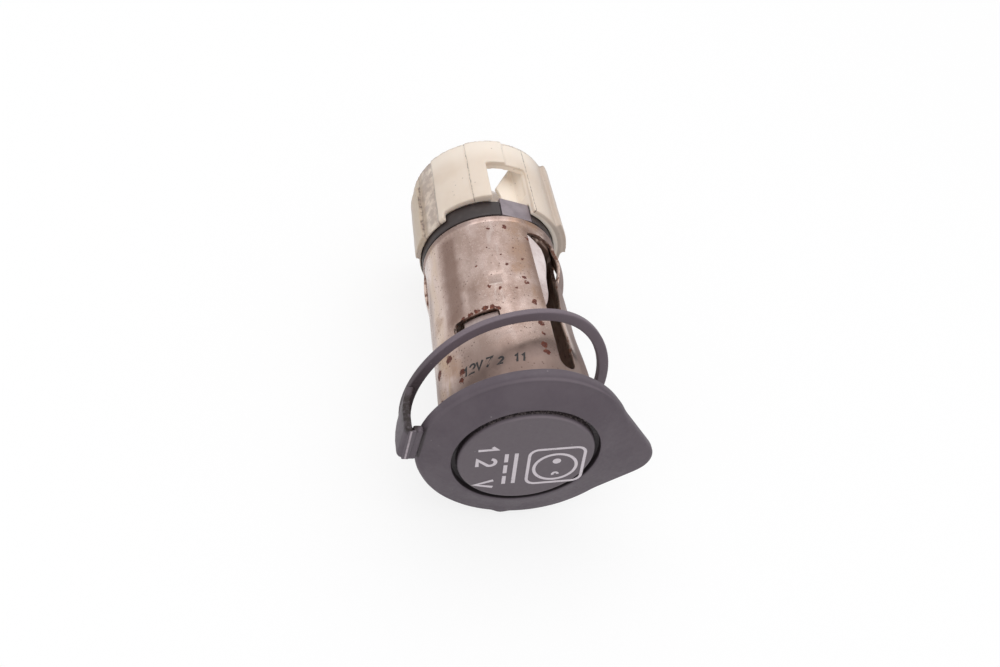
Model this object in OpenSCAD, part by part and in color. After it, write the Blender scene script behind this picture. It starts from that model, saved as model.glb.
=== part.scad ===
// Vehicle 12 V power socket: a tapered steel shell with a connector housing behind it, and a
// tethered rubber-like cap that plugs its mouth.
// The shell's axis is +Y, towards the rear. The origin is on that axis, in the plane of the mouth
// flange's rear face, which seats on the trim panel. The cap's pull tab points to +X, its hinge to
// -X, and +Z is up. Clock angles are counted from the pull tab, anticlockwise seen from the front.

/* [Shell] */
// Length of the shell behind the panel seat
shell_len = 38; // [35:0.5:44]
// Outer diameter of the shell just behind its mouth flange
shell_d_mouth = 25.5; // [25:0.1:26.4]
// Outer diameter of the shell at its rear rim
shell_d_rear = 23; // [22.6:0.1:24]
// Thickness of the shell's sheet
shell_t = 0.6; // [0.5:0.05:0.9]
// Width of the mouth flange outside the shell
mouth_w = 1.45; // [1:0.05:2]
// Thickness of the mouth flange
mouth_t = 1; // [0.8:0.1:1.4]
// How far the rolled rear rim stands proud of the shell
rim_proud = 0.25; // [0.1:0.05:0.4]
// Width of the rolled rear rim
rim_w = 0.9; // [0.6:0.1:1.4]

/* [Shell cut-outs] */
// Clock angle of the long slot's centre line
slot_angle = 59; // [56:1:62]
// Distance of the slot's front end from the panel seat
slot_z = 4.8; // [4:0.2:8]
// Distance of the slot's rear end from the shell's rear rim
slot_margin = 1.6; // [1.2:0.1:2.4]
// Width of the slot at its front end
slot_w = 3.2; // [2.4:0.1:3.6]
// Widest part of the slot, beside the barb
slot_wide = 7.6; // [6.8:0.1:8.2]
// Width of the contact flap that is bent in from the slot's edge
flap_w = 2.9; // [2.2:0.1:3.2]
// Length of the contact flap
flap_len = 16.6; // [12:0.2:18]
// Angle that the contact flap is bent in by
flap_dip = 10; // [5:1:20]
// Clock angle of the window's centre
window_angle = 129; // [122:1:136]
// Width of the window
window_w = 8.2; // [5:0.1:9]
// Length of the window along the shell
window_len = 4.4; // [3:0.1:6]
// Distance of the window from the panel seat
window_z = 12.4; // [10:0.2:14]
// Radius of the window's corners
window_r = 0.9; // [0.4:0.1:1.4]
// Width of the spring tongue that is bent in from the window's front edge
tongue_w = 6.2; // [4:0.1:6.8]
// How far the tongue lies from the window's middle, down the clock
tongue_shift = 0.5; // [0:0.1:0.8]
// Angle that the tongue is bent in by
tongue_dip = 9; // [4:1:14]
// Clock angle of the locating dimple
dimple_angle = 107; // [103:1:111]
// Distance of the dimple from the panel seat
dimple_z = 22; // [19:0.5:25]
// Side of the shallow dimple
dimple_w = 2.2; // [1.5:0.1:3]
// Depth of the dimple
dimple_depth = 0.3; // [0.1:0.05:0.4]

/* [Barbs] */
// Clock angles of the two holding barbs
barb_angles = [23, -158.5]; // [-180:0.5:180]
// Height of each barb over the shell; the second is pressed nearly flat
barb_heights = [1.05, 0.45]; // [0.2:0.05:1.4]
// Angle that a barb spans round the shell
barb_span = 23; // [16:1:26]
// Length of a barb
barb_len = 8.8; // [7:0.1:9.4]

/* [Base and contacts] */
// Depth of the insulator's plug inside the shell
base_plug = 2.8; // [2:0.1:4]
// How far the insulator's collar stands proud of the shell's rear
base_proud = 0.3; // [0.1:0.05:0.6]
// Length of the insulator's collar
base_len = 3.3; // [2.6:0.1:4.5]
// Diameter of the centre contact
contact_d = 12.4; // [10:0.2:15]
// Depth of the dish in the centre contact
contact_dish = 0.8; // [0.4:0.1:1.2]
// Thickness of the contact and terminal sheet
blade_t = 0.8; // [0.6:0.05:1]
// Width of the terminal strips
blade_w = 5.8; // [4.8:0.1:6.3]
// Distance of the terminal blades from the axis
blade_r = 4.7; // [4.6:0.1:6]
// Length of the terminal blades
blade_len = 9; // [7:0.5:11]
// Length of the blades' tapered tips
blade_point = 0.8; // [0.4:0.1:1.5]
// Clock angle of the earth strip
earth_angle = 77; // [70:1:84]
// Diameter of the centre rivet's shank
rivet_d = 4; // [3:0.1:4.6]
// Height of the rivet's head
rivet_head = 1; // [0.6:0.1:1.4]
// Diameter of the fibre washer under the centre contact
fibre_d = 15; // [13:0.5:18]
// Thickness of the fibre washer
fibre_t = 0.8; // [0.5:0.1:1.2]
// Diameter of the washer under the rivet's rear head
washer_d = 7.4; // [7:0.1:7.8]
// Thickness of that washer
washer_t = 0.8; // [0.5:0.1:1.2]

/* [Connector housing] */
// Gap along the axis between the shell's rear rim and the housing
housing_gap = 1.6; // [1:0.1:2.2]
// Length of the housing
housing_len = 16.2; // [14:0.2:18]
// Wall of the housing round the base's collar, between the pads
housing_lip = 0.95; // [0.85:0.05:1.2]
// Draft of the housing: how much smaller its radius is at the rear
housing_draft = 0.45; // [0.1:0.05:0.6]
// Wall of the connector cavity
housing_wall = 1.6; // [1.2:0.1:2.2]
// Sideways shift of the housing from the shell's axis
housing_shift = [0.6, 0.25]; // [0:0.05:0.6]
// Thickness of the partition that carries the terminals
partition_t = 2.2; // [1.6:0.1:3]
// Width of the recess round the rear washer
washer_room = 0.6; // [0.3:0.1:0.8]
// Depth of the step in the housing's front edge, over the base's collar
front_step = 1.5; // [0.5:0.1:1.6]
// Clock angle where that step ends; it starts at the side window
front_step_to = 142; // [125:1:145]
// Clock angle where the side window starts
side_window_from = 66; // [62:1:70]
// Clock angle where the side window ends
side_window_to = 101; // [94:1:103]
// Length of the side window
side_window_len = 10.2; // [8:0.1:11]
// Distance of the side window's floor from the housing's middle
window_floor_r = 8.8; // [8.4:0.1:9.4]
// Thickness of the screen that stands between the side window and the earth strip's blade
screen_t = 0.8; // [0.6:0.1:1]
// How far the screen's nose reaches past the strip's middle
screen_reach = 1.95; // [1.2:0.05:2.4]
// Distance of the screen's nose from the housing's front
screen_nose = 8.1; // [7:0.1:9]
// How far the screen stays inside the housing's rear
screen_drop = 1.5; // [1:0.1:3]

/* [Cap] */
// Diameter of the cap's flange
cap_d = 35; // [33:0.2:37]
// Thickness of the cap's flange
cap_t = 2; // [1.6:0.1:2.6]
// Radius of the flange's soft edge
cap_edge = 0.8; // [0.4:0.1:0.9]
// Reach of the pull tab's tip from the axis
tab_reach = 21.9; // [20:0.1:25]
// Radius of the pull tab's tip
tab_tip_r = 4.2; // [3:0.1:5]
// How far inside the rim the tab's flanks pass the flange
tab_inset = 1.45; // [0.8:0.05:3]
// Diameter of the locating nub on the flange's lower edge
nub_d = 1.7; // [1:0.1:2.4]
// Wall of the raised centre disc round the plug's hollow
boss_wall = 0.75; // [0.6:0.05:1.2]
// Height of the centre disc over the flange
boss_h = 1.3; // [0.6:0.1:2]
// Radius of the centre disc's soft edge
boss_edge = 0.9; // [0.4:0.1:1.2]
// Width of the groove round the centre disc
groove_w = 1.1; // [0.6:0.1:1.4]
// Depth of the groove
groove_depth = 0.7; // [0.3:0.1:1]
// Wall left behind the groove and the centre disc
roof_t = 1.6; // [1.4:0.1:2]
// Depth of the plug skirt inside the shell
skirt_len = 5; // [3:0.1:5.4]
// Wall of the plug skirt
skirt_t = 1.3; // [1:0.1:1.8]
// How much smaller the skirt's radius is at its end
skirt_taper = 0.7; // [0.6:0.05:1]
// Chamfer at the skirt's end
skirt_tip = 0.5; // [0.2:0.1:0.8]

/* [Strap] */
// How much wider the loose ring's bore is than the mouth flange
ring_play = 4.3; // [3.6:0.1:5.5]
// Width of the ring's band
ring_w = 1.85; // [1.4:0.05:2]
// Thickness of the ring's band
ring_t = 1.1; // [0.8:0.05:1.6]
// Where the loose ring lies: sideways, up and behind the panel seat
ring_at = [-1.4, -0.5, 8.9]; // [-2:0.1:12]
// Lean of the loose ring
ring_lean = 12.5; // [6:0.5:14]
// Clock angle of the ring's rearmost point
ring_lean_angle = 34; // [0:1:50]
// Distance of the hinge crease from the cap's rim
hinge_reach = 1.25; // [0.9:0.05:1.7]
// Width of the hinge
hinge_w = 9.8; // [8:0.2:12]
// How far the hinge's middle lies below the axis
hinge_drop = 0.9; // [0:0.1:1.5]
// Thickness of the strap at the hinge
hinge_t = 1.4; // [1:0.1:1.8]
// Depth of the strap's full-width end, behind the crease
hinge_depth = 4; // [3:0.1:5]

/* [Fits] */
// Gap between the closed cap and the shell's mouth
cap_gap = 0.1; // [0.05:0.05:0.2]
// Play between the plug skirt's root and the shell's mouth, on the radius
skirt_play = 0.3; // [0.25:0.05:0.5]
// Clearance of parts that seat in each other
fit_gap = 0.05; // [0.03:0.01:0.08]
// Gap on each side of the hinge crease
crease_gap = 0.12; // [0.08:0.02:0.2]

/* [Hidden] */
$fn = 96;
// A length beyond the part, and what a cut or a root reaches past a face
far = 60;
past = 1;
weld = 0.5;

// Shell
mouth_d = shell_d_mouth + 2 * mouth_w;
taper_angle = atan((shell_d_mouth - shell_d_rear) / 2 / shell_len);
function shell_r(z) = (shell_d_mouth + (shell_d_rear - shell_d_mouth) * z / shell_len) / 2;
function bore_r(z) = shell_r(z) - shell_t;

// Slot: along its length, how much of its widening is there; its straight edge is the flap's fold
slot_widening = [[0.22, 0.08], [0.35, 0.08], [0.54, 0.46], [0.71, 0.7], [0.75, 1], [1, 1]];
slot_back = shell_len - slot_margin;
slot_straight_back = slot_back - slot_w * 0.5;
slot_edge = slot_w * 0.78;

// Barbs: a wave that rises from the rear and dips in at its free front end
barb_back = slot_back - shell_t / 2;
barb_front = barb_back + shell_t - barb_len;
barb_turn = 190;
// The slit round a barb: degrees beside it, and length before its free end
barb_slit = [1.5, 0.4];

// Stack behind the shell
base_front = shell_len - base_plug;
base_back = shell_len + base_len;
base_d = shell_d_rear + 2 * base_proud;
contact_z = base_front - fibre_t;
housing_r = base_d / 2 + fit_gap + housing_lip;
housing_front = shell_len + housing_gap;
housing_back = housing_front + housing_len;
partition_z = base_back + blade_t + fit_gap;
blade_tip = partition_z + blade_len;

// Housing: the pads stop short of its ends; pads and web are rooted inside its wall
pad_inset = 0.2;
root_r = housing_r - housing_wall * 0.6;
// Degrees below the side window's edge where the screen's web starts and ends
web_below = [5, 1];
// Width of the screen's foot as a share of its nose's reach
screen_foot = 0.7;

// Cap: the skirt tapers so that it swings clear of the mouth
cap_back = -mouth_t - cap_gap;
cap_front = cap_back - cap_t;
boss_front = cap_front - boss_h;
skirt_r = bore_r(0) - skirt_play;
hollow_r = skirt_r - skirt_t;
boss_r = hollow_r + boss_wall;
skirt_end = cap_back + skirt_len;
hinge_x = cap_d / 2 + hinge_reach;

// Strap
ring_d = mouth_d + ring_play + 2 * ring_w;
soft_edge = ring_t / 4;

module barrel_axis() {
    rotate([-90, 0, 0])
        children();
}

module clock(angle) {
    rotate([0, 0, -angle])
        children();
}

// A ring sector with a rectangular section
module sector(r_in, r_out, z0, z1, from, to) {
    clock(to)
        rotate_extrude(angle = to - from)
            translate([r_in, z0])
                square([r_out - r_in, z1 - z0]);
}

// Pushes a flat outline, drawn as (along the clock, along the axis), outwards from r0 to r1
module radial(angle, r0, r1) {
    clock(angle)
        rotate([90, 0, 90])
            translate([0, 0, r0])
                linear_extrude(r1 - r0)
                    mirror([1, 0])
                        children();
}

module rounded_rect(size, r) {
    translate([r, r])
        offset(r)
            square([size.x - 2 * r, size.y - 2 * r]);
}

// The drawn shell's section: mouth flange, tapered wall and rolled rear rim
module shell_section() {
    polygon([
        [bore_r(0), -mouth_t],
        [mouth_d / 2, -mouth_t],
        [mouth_d / 2, 0],
        [shell_r(0), 0],
        [shell_r(shell_len - rim_w), shell_len - rim_w],
        [shell_r(shell_len) + rim_proud, shell_len - rim_w * 0.7],
        [shell_r(shell_len) + rim_proud, shell_len - rim_w * 0.3],
        [shell_r(shell_len), shell_len],
        [bore_r(shell_len), shell_len],
        [bore_r(0), 0]
    ]);
}

// Narrow round-ended front, widening towards the barb at the rear
module slot_outline() {
    tip = slot_w / 2;
    polygon(concat(
        [for (a = [0:-20:-180]) [slot_edge - tip + tip * cos(a), slot_z + tip + tip * sin(a)]],
        [for (at = slot_widening)
            [slot_edge - slot_w - (slot_wide - slot_w) * at[1],
                slot_z + (slot_back - slot_z) * at[0]]],
        [[slot_edge, slot_straight_back]]
    ));
}

// The flap's outline beside its fold line: the free edge bows out
module flap_outline() {
    steps = 12;
    polygon(concat(
        [[shell_t / 2, 0], [shell_t / 2, -flap_len]],
        [for (k = [0:steps]) let (u = k / steps)
            [-flap_w * pow(max(0, sin(180 * pow(u, 1.5))), 0.6), -flap_len * (1 - u)]]
    ));
}

// A spring tongue of the shell's sheet, bent in behind the window from its front edge
module window_tongue() {
    edge_r = sqrt(pow(shell_r(window_z), 2) - pow(tongue_w / 2 + tongue_shift, 2));
    clock(window_angle)
        translate([edge_r, 0, window_z - shell_t])
            rotate([0, -taper_angle - tongue_dip, 0])
                radial(0, -shell_t * 0.9, -shell_t * 0.05)
                    translate([-tongue_w / 2 - tongue_shift, 0])
                        square([tongue_w, window_len + shell_t / 2]);
}

// Another tongue, folded in along the slot's straight edge
module contact_flap() {
    fold_r = sqrt(pow(shell_r(slot_straight_back), 2) - pow(slot_edge, 2));
    clock(slot_angle)
        translate([fold_r - shell_t / 4, -slot_edge, slot_straight_back])
            rotate([0, -taper_angle, flap_dip])
                radial(0, -shell_t, 0)
                    flap_outline();
}

module barb(angle, height) {
    steps = 10;
    function wave(u) = [
        shell_r(barb_back - barb_len * u) + height * sin(barb_turn * u),
        barb_back + shell_t - barb_len * u
    ];
    clock(angle + barb_span / 2)
        rotate_extrude(angle = barb_span)
            polygon(concat(
                [for (k = [0:steps]) wave(k / steps)],
                [for (k = [steps:-1:0]) wave(k / steps) - [shell_t, 0]]
            ));
}

module barrel_shell() {
    deep = bore_r(shell_len) / 2;
    color("#b7a49c")
        barrel_axis() {
            difference() {
                rotate_extrude()
                    shell_section();
                radial(slot_angle, deep, far)
                    slot_outline();
                radial(window_angle, deep, far)
                    translate([-window_w / 2, window_z])
                        rounded_rect([window_w, window_len], window_r);
                radial(dimple_angle, shell_r(dimple_z + dimple_w / 2) - dimple_depth, far)
                    translate([-dimple_w / 2, dimple_z])
                        square(dimple_w);
                for (angle = barb_angles)
                    sector(deep, far, barb_front - barb_slit[1], barb_back,
                        angle - barb_span / 2 - barb_slit[0], angle + barb_span / 2 + barb_slit[0]);
            }
            for (k = [0:1])
                barb(barb_angles[k], barb_heights[k]);
            window_tongue();
            contact_flap();
        }
}

// Moulded black base: a plug in the shell and a collar behind it, notched for the earth strip
module base_insulator() {
    plug_r = bore_r(shell_len) - fit_gap;
    notch_x = strip_face(plug_r) - blade_t - fit_gap;
    color("#262425")
        barrel_axis()
            difference() {
                union() {
                    translate([0, 0, base_front])
                        cylinder(h = base_back - base_front, r = plug_r);
                    translate([0, 0, shell_len])
                        cylinder(h = base_len, d = base_d);
                }
                translate([0, 0, base_front - past])
                    cylinder(h = far, d = rivet_d + 2 * fit_gap);
                clock(earth_angle)
                    translate([notch_x, -blade_w / 2 - fit_gap, base_front - past])
                        cube([far, blade_w + 2 * fit_gap, far]);
            }
}

module disc_with_hole(d, z, h) {
    translate([0, 0, z])
        difference() {
            cylinder(h = h, d = d);
            translate([0, 0, -past])
                cylinder(h = h + 2 * past, d = rivet_d + 2 * fit_gap);
        }
}

module fibre_washer() {
    color("#5a3a2a")
        barrel_axis()
            disc_with_hole(fibre_d, contact_z, fibre_t);
}

// Dished contact disc at the bottom of the socket
module centre_contact() {
    r = contact_d / 2;
    hole_r = rivet_d / 2 + fit_gap;
    color("#c9a45a")
        barrel_axis()
            rotate_extrude()
                polygon([
                    [hole_r, contact_z],
                    [hole_r, contact_z - blade_t],
                    [r - contact_dish * 1.5, contact_z - blade_t],
                    [r, contact_z - blade_t - contact_dish],
                    [r, contact_z - contact_dish],
                    [r - contact_dish * 1.25, contact_z]
                ]);
}

module centre_rivet() {
    front = contact_z - blade_t;
    back = base_back + blade_t + washer_t;
    color("#cdb98a")
        barrel_axis()
            rotate_extrude()
                polygon([
                    [0, front - rivet_head],
                    [rivet_d * 0.5, front - rivet_head],
                    [rivet_d * 0.75, front - rivet_head * 0.6],
                    [rivet_d * 0.85, front],
                    [rivet_d * 0.5, front],
                    [rivet_d * 0.5, back],
                    [rivet_d * 0.8, back],
                    [rivet_d * 0.65, back + rivet_head * 0.6],
                    [0, back + rivet_head * 0.8]
                ]);
}

module rear_washer() {
    color("#9a9a9c")
        barrel_axis()
            disc_with_hole(washer_d, base_back + blade_t, washer_t);
}

// Distance from the axis of a flat strip's face whose corners lie on a round of radius r
function strip_face(r) = sqrt(pow(r, 2) - pow(blade_w / 2, 2));

// A strip folded from sheet, drawn as (from the axis, along the axis)
module folded_strip(angle, outline) {
    clock(angle)
        translate([0, blade_w / 2, 0])
            rotate([90, 0, 0])
                linear_extrude(blade_w)
                    polygon(outline);
}

// The tapered end of a terminal blade, outer side first
function blade_end() = [
    [blade_r + blade_t, blade_tip - blade_point],
    [blade_r + blade_t * 0.7, blade_tip],
    [blade_r + blade_t * 0.3, blade_tip],
    [blade_r, blade_tip - blade_point]
];

module positive_terminal() {
    color("#b8b0a4")
        barrel_axis()
            difference() {
                union() {
                    folded_strip(earth_angle + 180, concat(
                        [[0, base_back], [blade_r + blade_t, base_back]],
                        blade_end(),
                        [[blade_r, base_back + blade_t], [0, base_back + blade_t]]
                    ));
                    translate([0, 0, base_back])
                        cylinder(h = blade_t, d = washer_d);
                }
                translate([0, 0, base_back - past])
                    cylinder(h = far, d = rivet_d + 2 * fit_gap);
            }
}

// Tongue inside the shell, step over the rim, fold across the base and blade in the connector
module earth_strip() {
    inside = strip_face(bore_r(shell_len) - fit_gap);
    outside = strip_face(base_d / 2);
    step = shell_len + fit_gap;
    tongue = base_front + blade_t / 2;
    color("#a7a3ad")
        barrel_axis()
            folded_strip(earth_angle, concat(
                [
                    [inside - blade_t, tongue],
                    [inside, tongue],
                    [inside, step],
                    [outside, step],
                    [outside, base_back + blade_t],
                    [blade_r + blade_t, base_back + blade_t]
                ],
                blade_end(),
                [
                    [blade_r, base_back],
                    [outside - blade_t, base_back],
                    [outside - blade_t, step + blade_t],
                    [inside - blade_t, step + blade_t]
                ]
            ));
}

// Raised pads on the housing: clock angles from and to, height over the wall, and how far each
// stops short of the housing's rear
pads = [
    [6, 38, 0.9, 0], [85, 115, 0.55, 0], [112, 147, 0.35, 0], [167, 190, 0.7, 2.6],
    [-42, -6, 0.5, 0], [-143, -99, 0.5, 0], [-80, -60, 0.35, 0]
];

module housing_body() {
    translate([0, 0, housing_front])
        cylinder(h = housing_len, r1 = housing_r, r2 = housing_r - housing_draft);
    for (pad = pads) {
        pad_back = housing_back - pad_inset - pad[3];
        clock(pad[1])
            rotate_extrude(angle = pad[1] - pad[0])
                polygon([
                    [root_r, housing_front + pad_inset],
                    [housing_r + pad[2], housing_front + pad_inset],
                    [housing_r + pad[2] - housing_draft, pad_back],
                    [root_r, pad_back]
                ]);
    }
}

// A wall inside the cavity, seen through the side window: its rear edge slopes up from its nose
module terminal_screen() {
    nose_z = housing_front + screen_nose;
    top = housing_back - screen_drop;
    web = [side_window_from - web_below[0], side_window_from - web_below[1]];
    intersection() {
        sector(window_floor_r - screen_t, window_floor_r, partition_z, top,
            (web[0] + web[1]) / 2, side_window_to);
        radial(earth_angle, window_floor_r / 2, far)
            polygon([
                [-far, partition_z],
                [screen_reach * screen_foot, partition_z],
                [screen_reach * screen_foot, nose_z - screen_reach],
                [screen_reach, nose_z],
                [-screen_reach, top],
                [-far, top]
            ]);
    }
    sector(window_floor_r - screen_t * 0.9, root_r, partition_z, top - weld / 2, web[0], web[1]);
}

// The housing lies a little off the shell's axis; its terminal slots and its seat for the base don't
module connector_housing() {
    shift = [housing_shift.x, -housing_shift.y, 0];
    color("#e2d9c0")
        barrel_axis()
            difference() {
                translate(shift)
                    union() {
                        difference() {
                            housing_body();
                            translate([0, 0, partition_z + partition_t])
                                cylinder(h = far, r = housing_r - housing_wall);
                            sector(window_floor_r, far, housing_front - past,
                                housing_front + side_window_len, side_window_from, side_window_to);
                            sector(base_d / 2 - past, far, housing_front - past,
                                housing_front + front_step, side_window_to - past, front_step_to);
                        }
                        terminal_screen();
                    }
                translate([0, 0, housing_front - past])
                    cylinder(h = partition_z - housing_front + past, d = base_d + 2 * fit_gap);
                translate([0, 0, partition_z - past])
                    cylinder(h = far, d = washer_d + 2 * washer_room);
                for (angle = [earth_angle, earth_angle + 180])
                    clock(angle)
                        translate([blade_r - fit_gap, -blade_w / 2 - fit_gap, partition_z - past])
                            cube([blade_t + 2 * fit_gap, blade_w + 2 * fit_gap, far]);
            }
}

// A flat disc with soft edges front and back, its front face at z
module soft_disc(r, z) {
    steps = 5;
    back_edge = cap_t * 0.3;
    translate([0, 0, z])
        rotate_extrude()
            polygon(concat(
                [[0, 0]],
                [for (k = [0:steps]) let (a = 90 * k / steps)
                    [r - cap_edge + cap_edge * sin(a), cap_edge - cap_edge * cos(a)]],
                [[r, cap_t - back_edge], [r - back_edge / 2, cap_t], [0, cap_t]]
            ));
}

module plug_skirt() {
    rotate_extrude()
        polygon([
            [hollow_r, cap_back - weld],
            [skirt_r, cap_back - weld],
            [skirt_r, cap_back],
            [skirt_r - skirt_taper, skirt_end - skirt_tip],
            [skirt_r - skirt_taper - skirt_tip, skirt_end],
            [hollow_r - skirt_taper, skirt_end]
        ]);
}

module centre_disc() {
    steps = 5;
    rotate_extrude()
        polygon(concat(
            [[0, cap_back], [0, boss_front]],
            [for (k = [0:steps]) let (a = 90 * k / steps)
                [boss_r - boss_edge + boss_edge * sin(a), boss_front + boss_edge - boss_edge * cos(a)]],
            [[boss_r, cap_back]]
        ));
}

// The flange's outline: round, with a pull tab whose flanks run into the rim, a land at the hinge
// and a small nub below
module cap_flange() {
    soft_disc(cap_d / 2, cap_front);
    hull() {
        translate([tab_reach - tab_tip_r, 0, 0])
            soft_disc(tab_tip_r, cap_front, $fn = 48);
        soft_disc(cap_d / 2 - tab_inset, cap_front);
    }
    translate([-hinge_x + crease_gap, hinge_drop - hinge_w / 2, cap_front + cap_t * 0.1])
        cube([hinge_reach + cap_t, hinge_w, cap_t * 0.75]);
    translate([0, cap_d / 2 - nub_d * 0.12, cap_front + cap_t * 0.25])
        cylinder(h = cap_t * 0.55, d = nub_d, $fn = 24);
}

module cap() {
    color("#57525a")
        barrel_axis() {
            difference() {
                cap_flange();
                translate([0, 0, cap_front - past])
                    cylinder(h = groove_depth + past, r = boss_r + groove_w);
                translate([0, 0, boss_front + roof_t])
                    cylinder(h = far, r = hollow_r);
            }
            difference() {
                centre_disc();
                translate([0, 0, boss_front + roof_t])
                    cylinder(h = far, r = hollow_r);
            }
            plug_skirt();
        }
}

module lay_ring() {
    translate([ring_at.x, -ring_at.y, ring_at.z])
        clock(ring_lean_angle)
            rotate([0, -ring_lean, 0])
                clock(-ring_lean_angle)
                    children();
}

module strap_ring() {
    rotate_extrude()
        translate([ring_d / 2 - ring_w, -ring_t / 2])
            polygon([
                [soft_edge, 0], [ring_w - soft_edge, 0], [ring_w, soft_edge],
                [ring_w, ring_t - soft_edge], [ring_w - soft_edge, ring_t], [soft_edge, ring_t],
                [0, ring_t - soft_edge], [0, soft_edge]
            ]);
}

// A slice across the strap's end: distance behind the cap's front face, width and thickness
module hinge_slice(depth, width, thick) {
    translate([-hinge_x - crease_gap - hinge_t, hinge_drop - width / 2, cap_front + depth])
        cube([hinge_t, width, thick]);
}

// The strap's end stands up behind the crease, then turns into the ring
module cap_strap() {
    neck_w = hinge_w * 0.7;
    back_w = hinge_w * 0.8;
    color("#4f4a50")
        barrel_axis() {
            lay_ring()
                strap_ring();
            hull() {
                hinge_slice(soft_edge / 2, hinge_w - hinge_t, ring_t / 2);
                hinge_slice(soft_edge * 3, hinge_w, hinge_t);
                hinge_slice(hinge_depth, back_w, ring_t / 2);
            }
            hull() {
                hinge_slice(hinge_depth, back_w, ring_t / 2);
                lay_ring()
                    translate([soft_edge - ring_d / 2, hinge_drop / 2 - neck_w / 2, soft_edge / 2 - ring_t / 2])
                        cube([ring_w - 2 * soft_edge, neck_w, ring_t - soft_edge]);
            }
        }
}

barrel_shell();
base_insulator();
fibre_washer();
centre_contact();
centre_rivet();
rear_washer();
positive_terminal();
earth_strip();
connector_housing();
cap_strap();
cap();
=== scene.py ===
"""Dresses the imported 12 volt power socket: drawn shell, moulded cap, print, materials, light and camera."""

from math import acos, asin, atan2, ceil, cos, degrees, exp, hypot, pi, radians, sin, sqrt, tan

import bmesh
import bpy
import numpy as np
from mathutils import Matrix, Vector, noise
from mathutils.geometry import delaunay_2d_cdt


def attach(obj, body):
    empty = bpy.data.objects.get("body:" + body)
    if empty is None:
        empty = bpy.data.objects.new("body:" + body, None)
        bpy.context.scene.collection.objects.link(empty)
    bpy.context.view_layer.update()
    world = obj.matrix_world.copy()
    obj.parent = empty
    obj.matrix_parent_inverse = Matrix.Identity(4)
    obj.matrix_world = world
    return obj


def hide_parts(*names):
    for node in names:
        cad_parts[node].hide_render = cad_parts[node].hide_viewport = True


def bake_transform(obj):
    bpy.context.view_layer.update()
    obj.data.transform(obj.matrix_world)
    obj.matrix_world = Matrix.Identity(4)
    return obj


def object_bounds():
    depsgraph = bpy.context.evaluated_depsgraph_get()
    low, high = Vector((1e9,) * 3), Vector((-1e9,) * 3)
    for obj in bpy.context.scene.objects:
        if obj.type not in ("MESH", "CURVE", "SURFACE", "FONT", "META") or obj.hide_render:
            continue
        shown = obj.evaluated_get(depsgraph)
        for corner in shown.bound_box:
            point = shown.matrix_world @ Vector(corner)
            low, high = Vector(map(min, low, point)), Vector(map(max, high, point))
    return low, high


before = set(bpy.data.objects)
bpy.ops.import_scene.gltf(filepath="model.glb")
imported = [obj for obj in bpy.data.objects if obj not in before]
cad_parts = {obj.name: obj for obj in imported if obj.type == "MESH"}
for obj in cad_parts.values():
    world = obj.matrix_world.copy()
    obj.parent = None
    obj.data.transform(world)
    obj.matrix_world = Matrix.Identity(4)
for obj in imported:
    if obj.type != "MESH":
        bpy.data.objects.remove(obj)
cad_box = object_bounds()

scene = bpy.context.scene
MM = 0.001

# Sizes in millimetres: the part's own, save where the photograph asked for others. Clock angles are
# in degrees about the shell's axis, from the cap's pull tab at +X towards +Z
SHELL_LEN = 38.0
SHELL_R_MOUTH = 12.75
SHELL_R_REAR = 11.5
SHEET = 0.6
MOUTH_W = 1.45
CORNER = 0.3
RIM_PROUD, RIM_W = 0.25, 0.9
SLOT_CLOCK, SLOT_W, SLOT_WIDE = 59.0, 3.2, 7.6
SLOT_FRONT, SLOT_BACK = 4.8, 36.4
SLOT_EDGE = SLOT_W * 0.78
SLOT_STRAIGHT_BACK = SLOT_BACK - SLOT_W * 0.5
SLOT_WIDENING = [(0.22, 0.08), (0.35, 0.08), (0.54, 0.46), (0.71, 0.7), (0.75, 1), (1, 1)]
FLAP_DIP, FLAP_BEND = 10.0, 0.5
FLAP_SHAPE = [(17.6, 0.0), (18.3, 0.5), (19.6, 1.1), (21.2, 1.6), (23.2, 1.85), (25.1, 2.15), (27.5, 2.8),
              (29.2, 3.1), (30.8, 3.15), (32.3, 2.85), (33.4, 1.8), (34.4, 0.0)]
WINDOW_CLOCK, WINDOW_W, WINDOW_LEN, WINDOW_FRONT, WINDOW_R = 129.0, 8.2, 4.4, 12.4, 0.9
TONGUE_W, TONGUE_SHIFT, TONGUE_DIP = 6.2, 0.8, 6.0
DIMPLE_CLOCK, DIMPLE_FRONT, DIMPLE_W, DIMPLE_DEPTH = 107.0, 22.0, 2.2, 0.04
BARBS = [(23.0, 1.05), (-158.5, 0.45)]
BARB_SPAN, BARB_LEN, BARB_BACK, BARB_TURN = 23.0, 9.6, 36.1, 190.0
BARB_SLIT = (1.5, 0.4)
BARB_ROOT = 0.6
SINK, SINK_FIRST, SINK_LAST = 0.5, -35, 58
RIPPLES = [(150, 0.045), (420, 0.012)]
SHELL_COLUMNS, SEAM = 233, -90.0

CAP_R, CAP_BACK, CAP_FRONT = 17.5, -1.1, -3.1
CAP_EDGE = 0.8
FACE_RIM, FACE_TOP, RIM_BACK, FACE_LEAN = -2.45, -4.1, -0.75, 0.02
TAB_REACH, TAB_TIP_R, TAB_TURN = 22.65, 4.2, -8.0
TAB_ROOT_HIGH, TAB_ROOT_LOW = 16.5, 18.2
NUB_CLOCK, NUB_PROUD, NUB_HALF = -89.5, 0.62, 2.4
# How far the worn outline lies outside the round rim: clock angle, millimetres
RIM_SWELL = [(-180, -0.1), (-150, -0.3), (-118, -0.1), (-95, 0.25), (-85, 0.5), (-74, 0.75), (-59, 1.0),
             (-40, 1.1), (-20, 0.8), (15, -0.6), (42, -0.75), (60, -0.42), (85, 0.0), (180, -0.1)]
RIM_FLAT = (-1.45, -1.25)
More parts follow.
